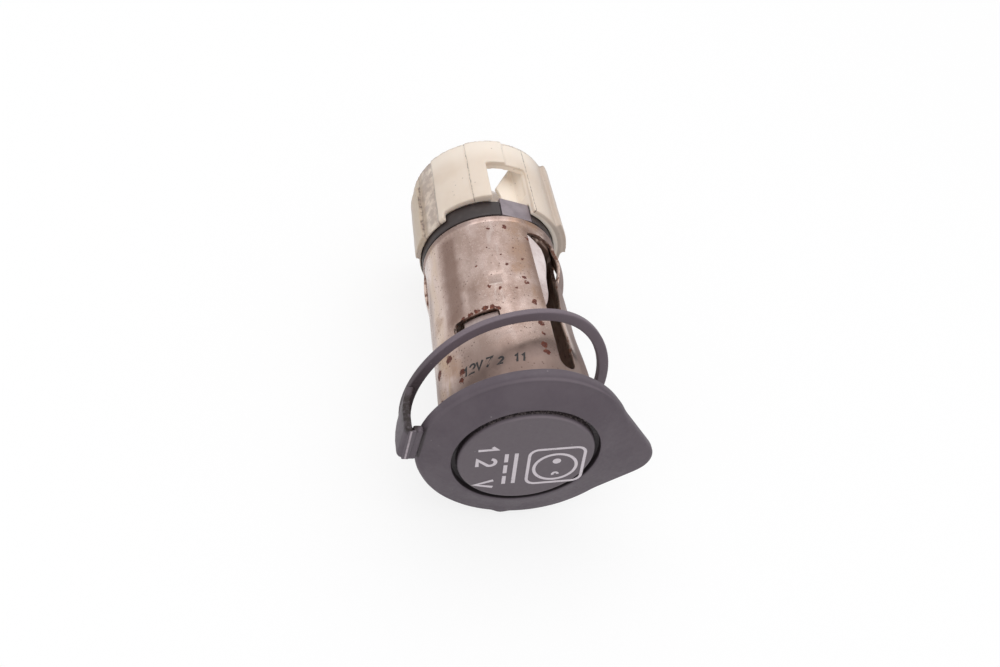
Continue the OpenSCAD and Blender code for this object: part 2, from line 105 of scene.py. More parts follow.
# The flange's face and back: radius, and the share in which that ring follows the outline
FACE_RINGS = [(12.6, 0.0), (13.2, 0.02), (14.2, 0.2), (15.4, 0.6), (16.2, 0.88)]
BACK_RINGS = [(16.2, 0.9), (15.2, 0.65), (14.7, 0.5)]
FACE_BOW = 1.3
CAP_TURNS = 320
BOSS_R, BOSS_FRONT, BOSS_EDGE = 10.95, -4.4, 0.6
GROOVE_W, GROOVE_FLOOR, GROOVE_SOFT = 0.9, -2.95, 0.15
ROOF = 1.6
SKIRT_R, SKIRT_T, SKIRT_TAPER, SKIRT_END = 11.85, 1.3, 0.7, 3.9
HINGE_X, CREASE = -18.75, 0.12
HINGE_LOW, HINGE_HIGH = -2.9, 4.9
LAND_END_X, LAND_SOFT = -17.0, 0.45
WEB_HALF, WEB_T, WEB_SOFT, WEB_BEND = 0.6, 0.4, 0.18, 0.3
RING_R, RING_W, RING_T, RING_SOFT, RING_STEPS = 18.0, 1.85, 1.1, 0.18, 240
RING_AT, RING_LEAN, RING_LEAN_CLOCK = (-1.2, 8.9, -0.5), 12.5, 34.0

HOUSING_AT = (0.6, 0.25)
HOUSING_BACK = 55.8
HOUSING_SKIN = 12.2


def wave(value, low, high):
    """A soft step from 0 at low to 1 at high."""
    t = min(1.0, max(0.0, (value - low) / (high - low)))
    return t * t * (3 - 2 * t)


def wrapped(angle):
    """The same angle in degrees, from -180 to 180."""
    return (angle + 180) % 360 - 180


def spoke(angle, length):
    """The two parts of a line of that length, turned by an angle in degrees."""
    a = radians(angle)
    return length * cos(a), length * sin(a)


def polar(clock, radius, along):
    """The point in metres at a clock angle, a radius and a distance along the shell's axis."""
    x, z = spoke(clock, radius)
    return Vector((x, along, z)) * MM


def circle(cx, cy, r, steps=64, start=0, turn=360):
    """Points on a round, from an angle and over a turn."""
    spokes = [spoke(start + turn * k / steps, r) for k in range(steps)]
    return [(cx + x, cy + y) for x, y in spokes]


def rounded_square(cx, cy, w, h, r):
    """The outline of an oblong with round corners."""
    x, y = w / 2 - r, h / 2 - r
    corners = [(x, y, 0), (-x, y, 90), (-x, -y, 180), (x, -y, 270)]
    return [(cx + x + u, cy + y + v) for x, y, first in corners for u, v in circle(0, 0, r, 7, first, 105)]


def sides(outline):
    """The pairs of neighbours round a closed outline."""
    return zip(outline, outline[1:] + outline[:1])


def add_object(mesh, body=None):
    """An object for a mesh in the row frame, on a body where one is given."""
    made = bpy.data.objects.new(mesh.name, mesh)
    scene.collection.objects.link(made)
    if body:
        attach(made, body)
    return made


def add_skin(name, verts, faces, body, smooth=True):
    """An object of plain faces, rounded by its shading or flat."""
    mesh = bpy.data.meshes.new(name)
    mesh.from_pydata(verts, [], faces)
    mesh.validate()
    if smooth:
        mesh.shade_smooth()
    else:
        mesh.shade_flat()
    return add_object(mesh, body)


# The drawn shell is a sheet, cut in the flat and wrapped on its tapered tube


def shell_radius(along):
    return SHELL_R_MOUTH + (SHELL_R_REAR - SHELL_R_MOUTH) * along / SHELL_LEN


def sheet_profile(s):
    """Radius and distance along the axis of the outer skin, from the flange's edge to the rear rim."""
    if s <= -CORNER:
        return SHELL_R_MOUTH - s, 0.0
    if s < CORNER:
        t = (s + CORNER) / (2 * CORNER)
        return SHELL_R_MOUTH + CORNER * (1 - t) ** 2, CORNER * t * t
    rim = max(0.0, s - (SHELL_LEN - RIM_W)) / RIM_W
    return shell_radius(s) + RIM_PROUD * sin(pi * rim), s


def barb_rise(clock, s):
    """How far a barb lifts the sheet: it rises from the rear and dips in at its free end."""
    for middle, height in BARBS:
        turn = wrapped(clock - middle)
        share = (BARB_BACK + SHEET - s) / BARB_LEN
        if abs(turn) < BARB_SPAN / 2 + 0.4 and 0 < share < 1.04:
            return height * sin(radians(BARB_TURN * share))
    return 0.0


def dimple_drop(clock, s):
    """A shallow square pressed in, deepest at its rear edge."""
    across = radians(clock - DIMPLE_CLOCK) * shell_radius(s) / (DIMPLE_W / 2)
    up = (s - DIMPLE_FRONT) / DIMPLE_W
    inside = wave(1.12 - abs(across), 0, 0.24) * wave(up, -0.12, 0.25) * wave(1.1 - up, 0, 0.14)
    return DIMPLE_DEPTH * inside * (0.45 + 0.55 * up)


def side_sink(clock, s):
    """The slotted tube has sprung inwards on the side beyond the slot."""
    turn = wrapped(clock)
    across = wave(turn, SINK_FIRST, SINK_FIRST + 40) * wave(SINK_LAST - turn, 0, 12)
    return SINK * across * wave(s, 7, 18) * wave(SHELL_LEN - s, 1, 4)


def sheet_point(clock, s):
    """The point of the shell's outer skin at a clock angle and a distance along the sheet."""
    radius, along = sheet_profile(s)
    spot = polar(clock, radius, along)
    ripple = sum(noise.noise(spot * scale) * height for scale, height in RIPPLES)
    lift = barb_rise(clock, s) - dimple_drop(clock, s) - side_sink(clock, s) + ripple * wave(s, 0, 2)
    return polar(clock, radius + lift, along)


def dense(points, step=0.3):
    """A closed outline with points no further apart than step."""
    result = []
    for (x0, y0), (x1, y1) in sides(points):
        count = max(1, ceil(hypot(x1 - x0, y1 - y0) / step))
        result += [(x0 + (x1 - x0) * k / count, y0 + (y1 - y0) * k / count) for k in range(count)]
    return result


def rounded(points, rounds=2):
    """Cuts the corners of a closed outline."""
    for _ in range(rounds):
        points = [p for a, b in sides(points) for p in (
            (a[0] * 0.75 + b[0] * 0.25, a[1] * 0.75 + b[1] * 0.25),
            (a[0] * 0.25 + b[0] * 0.75, a[1] * 0.25 + b[1] * 0.75))]
    return points


def on_clock(middle, outline):
    """Turns an outline of (millimetres along the clock, along the axis) into (clock angle, s)."""
    return [(middle + degrees(asin(u / shell_radius(s))), s) for u, s in outline]


def slot_outline():
    """The tapered slot: a round front end, a side that widens and one that runs straight."""
    tip = SLOT_W / 2
    front = circle(SLOT_EDGE - tip, SLOT_FRONT + tip, tip, 13, 0, -195)
    side = [(SLOT_EDGE - SLOT_W - (SLOT_WIDE - SLOT_W) * wide, SLOT_FRONT + (SLOT_BACK - SLOT_FRONT) * at)
            for at, wide in SLOT_WIDENING]
    outline = front + side + [(SLOT_EDGE, SLOT_STRAIGHT_BACK)]
    return on_clock(SLOT_CLOCK, dense(rounded(dense(outline, 0.8))))


def window_outline():
    middle = WINDOW_FRONT + WINDOW_LEN / 2
    return on_clock(WINDOW_CLOCK, dense(rounded_square(0, middle, WINDOW_W, WINDOW_LEN, WINDOW_R)))


def barb_outlines(middle):
    """The slit round a barb, and the barb itself."""
    low, high = middle - BARB_SPAN / 2, middle + BARB_SPAN / 2
    free = BARB_BACK + SHEET - BARB_LEN
    side, gap = BARB_SLIT
    front = free - gap
    slit = [(low - side, BARB_BACK), (low - side, front), (high + side, front), (high + side, BARB_BACK),
            (high, BARB_BACK), (high, free), (low, free), (low, BARB_BACK)]
    root = BARB_BACK + BARB_ROOT
    return slit, [(low, root), (low, free), (high, free), (high, root)]


def inside(point, outline):
    """Whether a flat point lies inside a closed outline."""
    x, y = point
    hit = False
    for (x0, y0), (x1, y1) in sides(outline):
        if (y0 > y) != (y1 > y) and x < x0 + (x1 - x0) * (y - y0) / (y1 - y0):
            hit = not hit
    return hit


def sheet_grid(cuts, degree):
    """The flat sheet's grid of points, which keeps clear of the cuts' own points."""
    rows = [-MOUTH_W, -1.1, -0.7, -CORNER, -0.1, 0.1, CORNER, 0.7, 1.1]
    rows += list(np.arange(1.6, SHELL_LEN - RIM_W - 0.3, 0.5)) + [SHELL_LEN - RIM_W]
    rows += [SHELL_LEN - RIM_W * share for share in (0.8, 0.6, 0.4, 0.2, 0)]
    columns = [(SEAM + turn) * degree for turn in np.linspace(0, 360, SHELL_COLUMNS)]
    border = np.array([p for cut in cuts for p in cut])
    points = []
    for y in rows:
        near = border[np.abs(border[:, 1] - y) < 0.2]
        for x in columns:
            if not len(near) or np.min(np.hypot(near[:, 0] - x, near[:, 1] - y)) > 0.16:
                points.append(Vector((x, y)))
    return points


def flatten(outline, degree):
    """An outline of (clock angle, s), laid out on the flat sheet, where a degree is so wide."""
    return [(clock * degree, s) for clock, s in outline]


def cut_sheet(degree):
    """Points and faces of the flat sheet, without what is cut away and with the barbs."""
    slits, barbs = zip(*[barb_outlines(middle if middle > SEAM else middle + 360) for middle, _ in BARBS])
    cuts = [flatten(slot_outline(), degree), flatten(window_outline(), degree)]
    cuts += [dense(flatten(slit, degree)) for slit in slits]
    kept = [flatten(barb, degree) for barb in barbs]
    points = sheet_grid(cuts, degree)
    edges = []
    for cut in cuts:
        first = len(points)
        points += [Vector(p) for p in cut]
        edges += [(first + k, first + (k + 1) % len(cut)) for k in range(len(cut))]
    found = delaunay_2d_cdt(points, edges, [], 0, 1e-5)
    points, faces = found[0], []
    for face in found[2]:
        middle = [sum(points[k][axis] for k in face) / len(face) for axis in (0, 1)]
        cut = any(inside(middle, outline) for outline in cuts)
        if not cut or any(inside(middle, outline) for outline in kept):
            faces.append(face)
    return points, faces


def build_shell():
    """The whole sheet as one skin with its cut-outs, then given its thickness and its soft cut edges."""
    degree = radians(1) * (SHELL_R_MOUTH + SHELL_R_REAR) / 2
    points, faces = cut_sheet(degree)
    verts = [sheet_point(x / degree, y) for x, y in points]
    shell = add_skin("drawn_shell", verts, faces, None)
    work = bmesh.new()
    work.from_mesh(shell.data)
    bmesh.ops.remove_doubles(work, verts=work.verts, dist=0.02 * MM)
    bmesh.ops.delete(work, geom=[v for v in work.verts if not v.link_faces], context="VERTS")
    bmesh.ops.recalc_face_normals(work, faces=work.faces)
    tube = [f for f in work.faces if f.calc_center_median().y > 2 * MM]
    outward = sum(f.normal.dot(Vector((f.calc_center_median().x, 0, f.calc_center_median().z))) for f in tube)
    if outward < 0:
        bmesh.ops.reverse_faces(work, faces=work.faces)
    for face in work.faces:
        face.smooth = True
    work.to_mesh(shell.data)
    work.free()
    give_thickness(shell)
    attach(shell, "socket")
    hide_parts("barrel_shell")
    return shell


def give_thickness(skin, thickness=SHEET, soft=0.09):
    """Sheet thickness towards the inside, with softened cut edges. Slots: outside, inside, cut edge."""
    sheet = skin.modifiers.new("sheet", "SOLIDIFY")
    sheet.thickness = thickness * MM
    sheet.offset = -1
    sheet.use_even_offset = True
    sheet.material_offset = 1
    sheet.material_offset_rim = 2
    edge = skin.modifiers.new("soft_edge", "BEVEL")
    edge.width = soft * MM
    edge.segments = 2
    edge.limit_method = "ANGLE"
    edge.angle_limit = radians(50)


def build_patch(name, count_u, count_v, place):
    """A tongue of the shell's sheet: place(u, v) gives its outer skin, u and v from 0 to 1."""
    verts = [place(i / count_u, j / count_v) for j in range(count_v + 1) for i in range(count_u + 1)]
    faces = []
    for j in range(count_v):
        for i in range(count_u):
            a = j * (count_u + 1) + i
            faces.append((a, a + 1, a + count_u + 2, a + count_u + 1))
    patch = add_skin(name, verts, faces, "socket")
    give_thickness(patch, SHEET * 0.8, 0.07)
    return patch


def flap_point(u, v):
    """Across the flap from its fold, then down into the bore; v runs along it."""
    s = FLAP_SHAPE[0][0] + (FLAP_SHAPE[-1][0] - FLAP_SHAPE[0][0]) * v
    width = float(np.interp(s, *zip(*FLAP_SHAPE))) * u + 0.02
    fold = SLOT_CLOCK + degrees(asin(SLOT_EDGE / shell_radius(s)))
    steps = 8
    across = down = 0.0
    for k in range(steps):
        bend = radians(FLAP_DIP) * min(1.0, width * (k + 0.5) / steps / FLAP_BEND)
        across += cos(bend) * width / steps
        down += sin(bend) * width / steps
    a = radians(fold)
    tangent = Vector((sin(a), 0, -cos(a)))
    return polar(fold, shell_radius(s) - 0.1 - down, s) + tangent * (across - 0.06) * MM


def tongue_point(u, v):
    """The spring tongue behind the window, curved as the tube that it was cut from."""
    s = WINDOW_FRONT - 0.4 + (WINDOW_LEN + 0.1) * v
    across = TONGUE_W / 2 - TONGUE_SHIFT - TONGUE_W * u
    clock = WINDOW_CLOCK + degrees(asin(across / shell_radius(s)))
    radius = shell_radius(s) - 0.12 - tan(radians(TONGUE_DIP)) * WINDOW_LEN * v * v
    return polar(clock, radius, s)


# The moulded cap: rings about the axis, whose outer ones follow the flange's outline


def flange_reach(clock):
    """Distance from the axis to the flange's outline: round rim, pull tab and lower nub."""
    turn = wrapped(clock - TAB_TURN)
    tip_x = TAB_REACH - TAB_TIP_R
    root_r = TAB_ROOT_HIGH if turn > 0 else TAB_ROOT_LOW
    turn = abs(turn)
    flank = degrees(acos((root_r - TAB_TIP_R) / tip_x))
    a, f = radians(turn), radians(flank)
    touch = degrees(atan2(TAB_TIP_R * sin(f), tip_x + TAB_TIP_R * cos(f)))
    if turn <= touch:
        tab = tip_x * cos(a) + sqrt(TAB_TIP_R ** 2 - (tip_x * sin(a)) ** 2)
    else:
        tab = root_r / max(0.2, cos(a - f)) if turn < flank else 0
    nub = NUB_PROUD * exp(-(wrapped(clock - NUB_CLOCK) / NUB_HALF) ** 4)
    swell = float(np.interp(wrapped(clock), *zip(*RIM_SWELL)))
    return max(CAP_R + swell, tab) + nub


def soft_reach(clock):
    """The outline with the small fillets that the mould leaves where the tab meets the rim."""
    turns = (-2.4, -1.2, 0, 1.2, 2.4)
    return sum(flange_reach(clock + turn) for turn in turns) / len(turns)


def arc(r0, y0, r1, y1, steps, convex=True):
    """Ring places on a quarter round from (r0, y0) to (r1, y1)."""
    made = []
    for k in range(steps + 1):
        a = pi / 2 * k / steps
        s, c = (sin(a), 1 - cos(a)) if convex else (1 - cos(a), sin(a))
        made.append((r0 + (r1 - r0) * s, y0 + (y1 - y0) * c))
    return made


def cap_rings():
    """(radius, share of the outline, along the axis) from the front's middle to the hollow's middle."""
    groove, soft = GROOVE_FLOOR, GROOVE_SOFT
    out = BOSS_R + GROOVE_W
    roof = BOSS_FRONT + ROOF
    hollow_r = SKIRT_R - SKIRT_T
    end_r = SKIRT_R - SKIRT_TAPER
    inner = [(radius, BOSS_FRONT) for radius in (2, 5, 8, 9.8)]
    inner += arc(BOSS_R - BOSS_EDGE, BOSS_FRONT, BOSS_R, BOSS_FRONT + BOSS_EDGE, 7)
    inner += [(BOSS_R, groove - 0.4)] + arc(BOSS_R, groove - soft, BOSS_R + soft, groove, 3, convex=False)
    inner += [(BOSS_R + GROOVE_W / 2, groove)] + arc(out - soft, groove, out, groove - soft, 3)
    inner += [(out, FACE_TOP + 0.3)] + arc(out, FACE_TOP + soft, out + soft, FACE_TOP, 3, convex=False)
    rings = [(r, 0.0, y) for r, y in inner]
    edge_r = CAP_R - CAP_EDGE
    for radius, share in FACE_RINGS:
        across = (radius - out) / (edge_r - out)
        rings.append((radius, share, FACE_TOP + (FACE_RIM - FACE_TOP) * across ** FACE_BOW))
    rings += [(r, 1.0, y) for r, y in arc(edge_r, FACE_RIM, CAP_R, FACE_RIM + CAP_EDGE, 7)]
    rings += [(CAP_R, 1.0, y) for y in RIM_FLAT]
    rings += [(r, 1.0, y) for r, y in arc(CAP_R, RIM_BACK - 0.3, CAP_R - 0.3, RIM_BACK, 4, convex=False)]
    rings += [(radius, share, RIM_BACK) for radius, share in BACK_RINGS]
    rings += [(14.6, 0.45, CAP_BACK), (13.4, 0.1, CAP_BACK), (SKIRT_R + 0.2, 0, CAP_BACK)]
    rings += [(SKIRT_R + 0.05, 0, CAP_BACK + 0.06), (SKIRT_R, 0, CAP_BACK + 0.2)]
    depth = SKIRT_END - 0.5 - CAP_BACK
    rings += [(SKIRT_R - SKIRT_TAPER * k / 6, 0, CAP_BACK + depth * k / 6) for k in range(1, 7)]
    rings += [(r, 0, y) for r, y in arc(end_r, SKIRT_END - 0.45, end_r - 0.5, SKIRT_END, 4, convex=False)]
    rings += [(end_r - SKIRT_T + 0.2, 0, SKIRT_END), (end_r - SKIRT_T, 0, SKIRT_END - 0.2)]
    rings += [(hollow_r - 0.3, 0, 0), (hollow_r, 0, roof + 0.5), (hollow_r - 0.15, 0, roof + 0.1)]
    rings += [(radius, 0, roof) for radius in (hollow_r - 0.5, 6, 2)]
    return rings


def build_cap():
    """The rings joined into one closed skin; its flange leans a little."""
    rings = cap_rings()
    turns = CAP_TURNS
    reach = [soft_reach(360 * k / turns) - CAP_R for k in range(turns)]
    verts = [Vector((0, BOSS_FRONT, 0)) * MM]
    for radius, share, along in rings:
        ring = [polar(360 * k / turns, radius + share * reach[k], along) for k in range(turns)]
        for spot in ring:
            spot.y += FACE_LEAN * spot.z * wave(radius, 14.5, 16.5)
        verts += ring
    verts.append(Vector((0, BOSS_FRONT + ROOF, 0)) * MM)
    faces = []
    last = len(rings) - 1
    for k in range(turns):
        n = (k + 1) % turns
        faces.append((0, 1 + k, 1 + n))
        faces.append((len(verts) - 1, 1 + last * turns + n, 1 + last * turns + k))
        for ring in range(last):
            a = 1 + ring * turns
            faces.append((a + k, a + turns + k, a + turns + n, a + n))
    cap = add_skin("moulded_cap", verts, faces, "cap")
    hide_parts("cap")
    return cap


def soft_block(name, low, high, body, edge):
    """A moulded block between two corners in millimetres, with round edges."""
    work = bmesh.new()
    bmesh.ops.create_cube(work, size=1)
    size = Vector(high) - Vector(low)
    bmesh.ops.transform(work, matrix=Matrix.Diagonal(size).to_4x4(), verts=work.verts)
    bmesh.ops.translate(work, vec=(Vector(high) + Vector(low)) / 2, verts=work.verts)
    bmesh.ops.bevel(work, geom=list(work.edges), offset=edge, segments=4, profile=0.5, affect="EDGES")
    long_edges = [e for e in work.edges if e.calc_length() > 1]
    bmesh.ops.subdivide_edges(work, edges=long_edges, cuts=6, use_grid_fill=True)
    for vert in work.verts:
        vert.co *= MM
    mesh = bpy.data.meshes.new(name)
    work.to_mesh(mesh)
    work.free()
    mesh.shade_smooth()
    return add_object(mesh, body)


def build_hinge():
    """The land on the cap's side, and the thin web between it and the strap."""
    land = soft_block("hinge_land", (HINGE_X + CREASE, CAP_FRONT + 0.15, HINGE_LOW),
                      (LAND_END_X, CAP_BACK - 0.5, HINGE_HIGH - 0.4), "cap", LAND_SOFT)
    web = soft_block("hinge_web", (HINGE_X - WEB_HALF, CAP_FRONT - 0.02, HINGE_LOW + 0.3),
                     (HINGE_X + WEB_HALF, CAP_FRONT + WEB_T, HINGE_HIGH - 0.3), None, WEB_SOFT)
    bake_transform(web)
    return land, web


def ring_axes():
    """The leaning ring's middle, its two in-plane directions and its normal."""
    a, lean = radians(RING_LEAN_CLOCK), radians(RING_LEAN)
    flat = Vector((cos(a), 0, sin(a)))
    back = Vector((0, 1, 0))
    along = flat * cos(lean) + back * sin(lean)
    normal = back * cos(lean) - flat * sin(lean)
    side = Vector((-sin(a), 0, cos(a)))
    return Vector(RING_AT), along, side, normal


def loft(sections, closed):
    """Faces between closed sections of as many points each; open lofts get flat ends."""
    count = len(sections[0])
    verts = [spot * MM for section in sections for spot in section]
    faces = []
    rows = len(sections)
    for j in range(rows if closed else rows - 1):
        a, b = j * count, (j + 1) % rows * count
        faces += [(a + k, a + (k + 1) % count, b + (k + 1) % count, b + k) for k in range(count)]
    if not closed:
        faces += [tuple(range(count))[::-1], tuple(range((rows - 1) * count, rows * count))]
    return verts, faces


def ring_sections():
    """The loose band, a little wavy as thin rubber lies."""
    middle, along, side, normal = ring_axes()
    sections = []
    for k in range(RING_STEPS):
        a = 2 * pi * k / RING_STEPS
        out = along * cos(a) + side * sin(a)
        sway = 0.12 * sin(3 * a + 0.6) + 0.08 * sin(5 * a)
        centre = middle + out * (RING_R - RING_W / 2 + 0.5 * sway) + normal * sway
        outline = rounded_square(0, 0, RING_W, RING_T, RING_SOFT)
        sections.append([centre + out * x + normal * y for x, y in outline])
    return sections


# The strap's end, from the crease to the ring: X of its outer face, Y, lowest and highest Z, thickness
STRAP_END = [(-18.9, -3.08, -1.9, 4.4, 0.25), (-19.35, -2.98, -2.3, 4.8, 0.55),
             (-19.75, -2.68, -2.5, 4.9, 0.9), (-20.0, -2.2, -2.6, 4.95, 1.13),
             (-20.05, -1.6, -2.6, 5.0, 1.18), (-20.05, 0.2, -2.5, 5.0, 1.18),
             (-19.95, 1.6, -2.1, 4.9, 1.15), (-19.7, 3.0, -1.7, 4.7, 1.1),
             (-19.3, 4.4, -1.3, 4.6, 1.1), (-18.95, 5.6, -1.0, 4.5, 1.2)]


def end_sections():
    """The strap's end, bowed outwards towards the ring."""
    sections = []
    for outer, along, low, high, thick in STRAP_END:
        corner = min(0.22, thick * 0.4)
        outline = rounded_square(outer + thick / 2, (low + high) / 2, thick, high - low, corner)
        bow = 0.024 * wave(along, 1, 5)
        sections.append([Vector((x + bow * (z - low) * (high - z), along, z)) for x, z in outline])
    return sections


def build_strap(material):
    """The strap's hinge end and its ring, one moulding: two lofts made one by an even skin."""
    verts, faces = loft(ring_sections(), True)
    more, more_faces = loft(end_sections(), False)
    faces += [tuple(len(verts) + k for k in face) for face in more_faces]
    strap = add_skin("moulded_strap", verts + more, faces, "socket")
    work = bmesh.new()
    work.from_mesh(strap.data)
    bmesh.ops.recalc_face_normals(work, faces=work.faces)
    work.to_mesh(strap.data)
    work.free()
    strap.data.materials.append(material)
    even_skin(strap, 0.1, 8)
    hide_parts("cap_strap")


# Print: flat strokes of ink, laid on the surface that carries them


def ribbon(points, width, closed=False):
    """Two rows of points, half a width to each side of a line, mitred at its corners."""
    count = len(points)
    rows = []
    for k, (x, y) in enumerate(points):
        before = points[k - 1] if closed or k else points[k]
        after = points[(k + 1) % count] if closed or k < count - 1 else points[k]
        a = Vector((x - before[0], y - before[1])).normalized() if before != (x, y) else None
        b = Vector((after[0] - x, after[1] - y)).normalized() if after != (x, y) else None
        a, b = a or b, b or a
        along = (a + b).normalized()
        side = Vector((-along.y, along.x))
        mitre = width / 2 / max(0.5, side.dot(Vector((-a.y, a.x))))
        rows.append((Vector((x, y)) + side * mitre, Vector((x, y)) - side * mitre))
    return rows


GLYPHS = {
    "1": [[(0.12, 0.76), (0.36, 1.0), (0.36, 0.0)]],
    "2": [circle(0.3, 0.7, 0.3, 14, 165, -200) + [(0.0, 0.0), (0.62, 0.0)]],
    "V": [[(0.0, 1.0), (0.32, 0.0), (0.64, 1.0)]],
    "7": [[(0.0, 1.0), (0.6, 1.0), (0.22, 0.0)]],
}


def word(text, height, gap, slant=0.0):
    """Strokes of a row of figures, its middle at (0, 0)."""
    strokes, x = [], 0.0
    for letter in text:
        for stroke in GLYPHS.get(letter, []):
            strokes.append([((x + px) * height, py * height) for px, py in stroke])
        x += (0.64 if letter in GLYPHS else 0.25) + gap
    left, down = (x - gap) * height / 2, height / 2
    return [[(px - left + slant * (py - down), py - down) for px, py in stroke] for stroke in strokes]


DOT_STEPS = 28


def build_print(name, strokes, place, body, material, lift=0.015):
    """strokes: (points, width, closed) or (centre, radius) for a dot; place(x, y, height) maps the print."""
    verts, faces = [], []
    for stroke in strokes:
        first = len(verts)
        if len(stroke) == 2:
            (cx, cy), r = stroke
            rim = circle(cx, cy, r, DOT_STEPS)
            for height in (lift, -lift):
                verts += [place(x, y, height) for x, y in rim]
            faces.append([first + k for k in range(DOT_STEPS)])
            for k in range(DOT_STEPS):
                a, b = first + k, first + (k + 1) % DOT_STEPS
                faces.append((b, a, a + DOT_STEPS, b + DOT_STEPS))
            continue
        points, width, closed = stroke
        rows = ribbon(points, width, closed)
        for left, right in rows:
            verts += [place(*left, lift), place(*right, lift), place(*left, -lift), place(*right, -lift)]
        count = len(rows)
        for k in range(count if closed else count - 1):
            a, b = first + 4 * k, first + 4 * ((k + 1) % count)
            faces += [(a, a + 1, b + 1, b), (a + 2, a, b, b + 2), (a + 1, a + 3, b + 3, b + 1)]
        if not closed:
            end = first + 4 * (count - 1)
            faces += [(first + 2, first + 3, first + 1, first), (end, end + 1, end + 3, end + 2)]
    made = add_skin(name, verts, faces, body, smooth=False)
    made.data.materials.append(material)


LABEL_TURN = 9.0
FRAME_LINE, BAR_LINE, LETTER_LINE, STAMP_LINE = 0.5, 0.62, 0.58, 0.36


def on_cap(x, y, height):
    """The cap's print reads downwards, turned a little; x and y are along and up its rows."""
    c, s = spoke(LABEL_TURN, 1)
    return Vector((x * s + y * c, BOSS_FRONT - height, -x * c + y * s)) * MM


def label_place(x, z):
    """Turns a place on the cap's face into the print's own two axes."""
    c, s = spoke(LABEL_TURN, 1)
    return x * s - z * c, x * c + z * s


def cap_label():
    """A socket in its frame, one of whose dots is chipped, the sign for direct current and 12 V."""
    square = label_place(5.25, -1.8)
    ring = label_place(5.25, -2.15)
    chipped = label_place(5.75, -4.1)
    x0, y0 = label_place(-2.0, -2.9)
    row = label_place(-6.0, -2.6)
    strokes = [(rounded_square(*square, 9.2, 8.9, 1.5), FRAME_LINE, True)]
    strokes += [(circle(*ring, 3.42), FRAME_LINE + 0.02, True), (label_place(5.15, -0.6), 0.68)]
    strokes.append((circle(*chipped, 0.42, 10, 80, 250), 0.42, False))
    long, dash, apart = 8.2, 2.2, 0.78
    bars = [(x0, long / 2, y0 + apart)]
    bars += [(x0 + k * (long - dash) / 2, dash / 2, y0 - apart) for k in (-1, 0, 1)]
    strokes += [([(middle - half, y), (middle + half, y)], BAR_LINE, False) for middle, half, y in bars]
    for points in word("12 V", 2.9, 0.58):
        strokes.append(([(x + row[0], y + row[1]) for x, y in points], LETTER_LINE, False))
    return strokes


# Plain figures near the mouth: clock angle, place along the axis, text, height, gap and slant
STAMP_CLOCK, STAMP_AT = 129.0, 5.3
BARREL_PRINT = [(137.0, 6.3, "12V", 1.6, 0.15, 0.2), (124.0, 6.2, "7", 1.7, 0.0, 0.25),
                (115.0, 5.9, "2", 1.2, 0.0, 0.2), (101.2, 5.8, "11", 1.5, 0.08, 0.15)]


def barrel_label():
    """Plain figures stamped near the mouth, drawn as (down the clock, along the axis)."""
    strokes = []
    for clock, along, text, size, gap, slant in BARREL_PRINT:
        at = radians(STAMP_CLOCK - clock) * shell_radius(STAMP_AT)
        for points in word(text, size, gap, slant):
            strokes.append(([(x + at, y + along) for x, y in points], STAMP_LINE, False))
    return strokes


def on_barrel(x, y, height):
    """A place on the shell's skin, from the stamp's own two axes."""
    clock = STAMP_CLOCK - degrees(x / shell_radius(y))
    skin = sheet_point(clock, y)
    return skin + Vector((skin.x, 0, skin.z)).normalized() * height * MM


# Materials: every one is a node tree with colour, wear, roughness and relief; some colours hold painted light
# and shade


def feed(tree, node, inputs):
    """Sets a node's inputs to values, or links them to other nodes' sockets."""
    for key, value in inputs.items():
        if isinstance(value, bpy.types.NodeSocket):
            tree.links.new(value, node.inputs[key])
        elif value is not None:
            node.inputs[key].default_value = value


def add_node(tree, kind, inputs, **settings):
    made = tree.nodes.new("ShaderNode" + kind)
    for key, value in settings.items():
        setattr(made, key, value)
    feed(tree, made, inputs)
    return made


def mix_tones(tree, share, first, second):
    """A share of the second tone over the first; a tone is a socket or three values."""
    tones = [tone if isinstance(tone, bpy.types.NodeSocket) else (*tone, 1) for tone in (first, second)]
    return add_node(tree, "Mix", {0: share, 6: tones[0], 7: tones[1]}, data_type="RGBA").outputs[2]


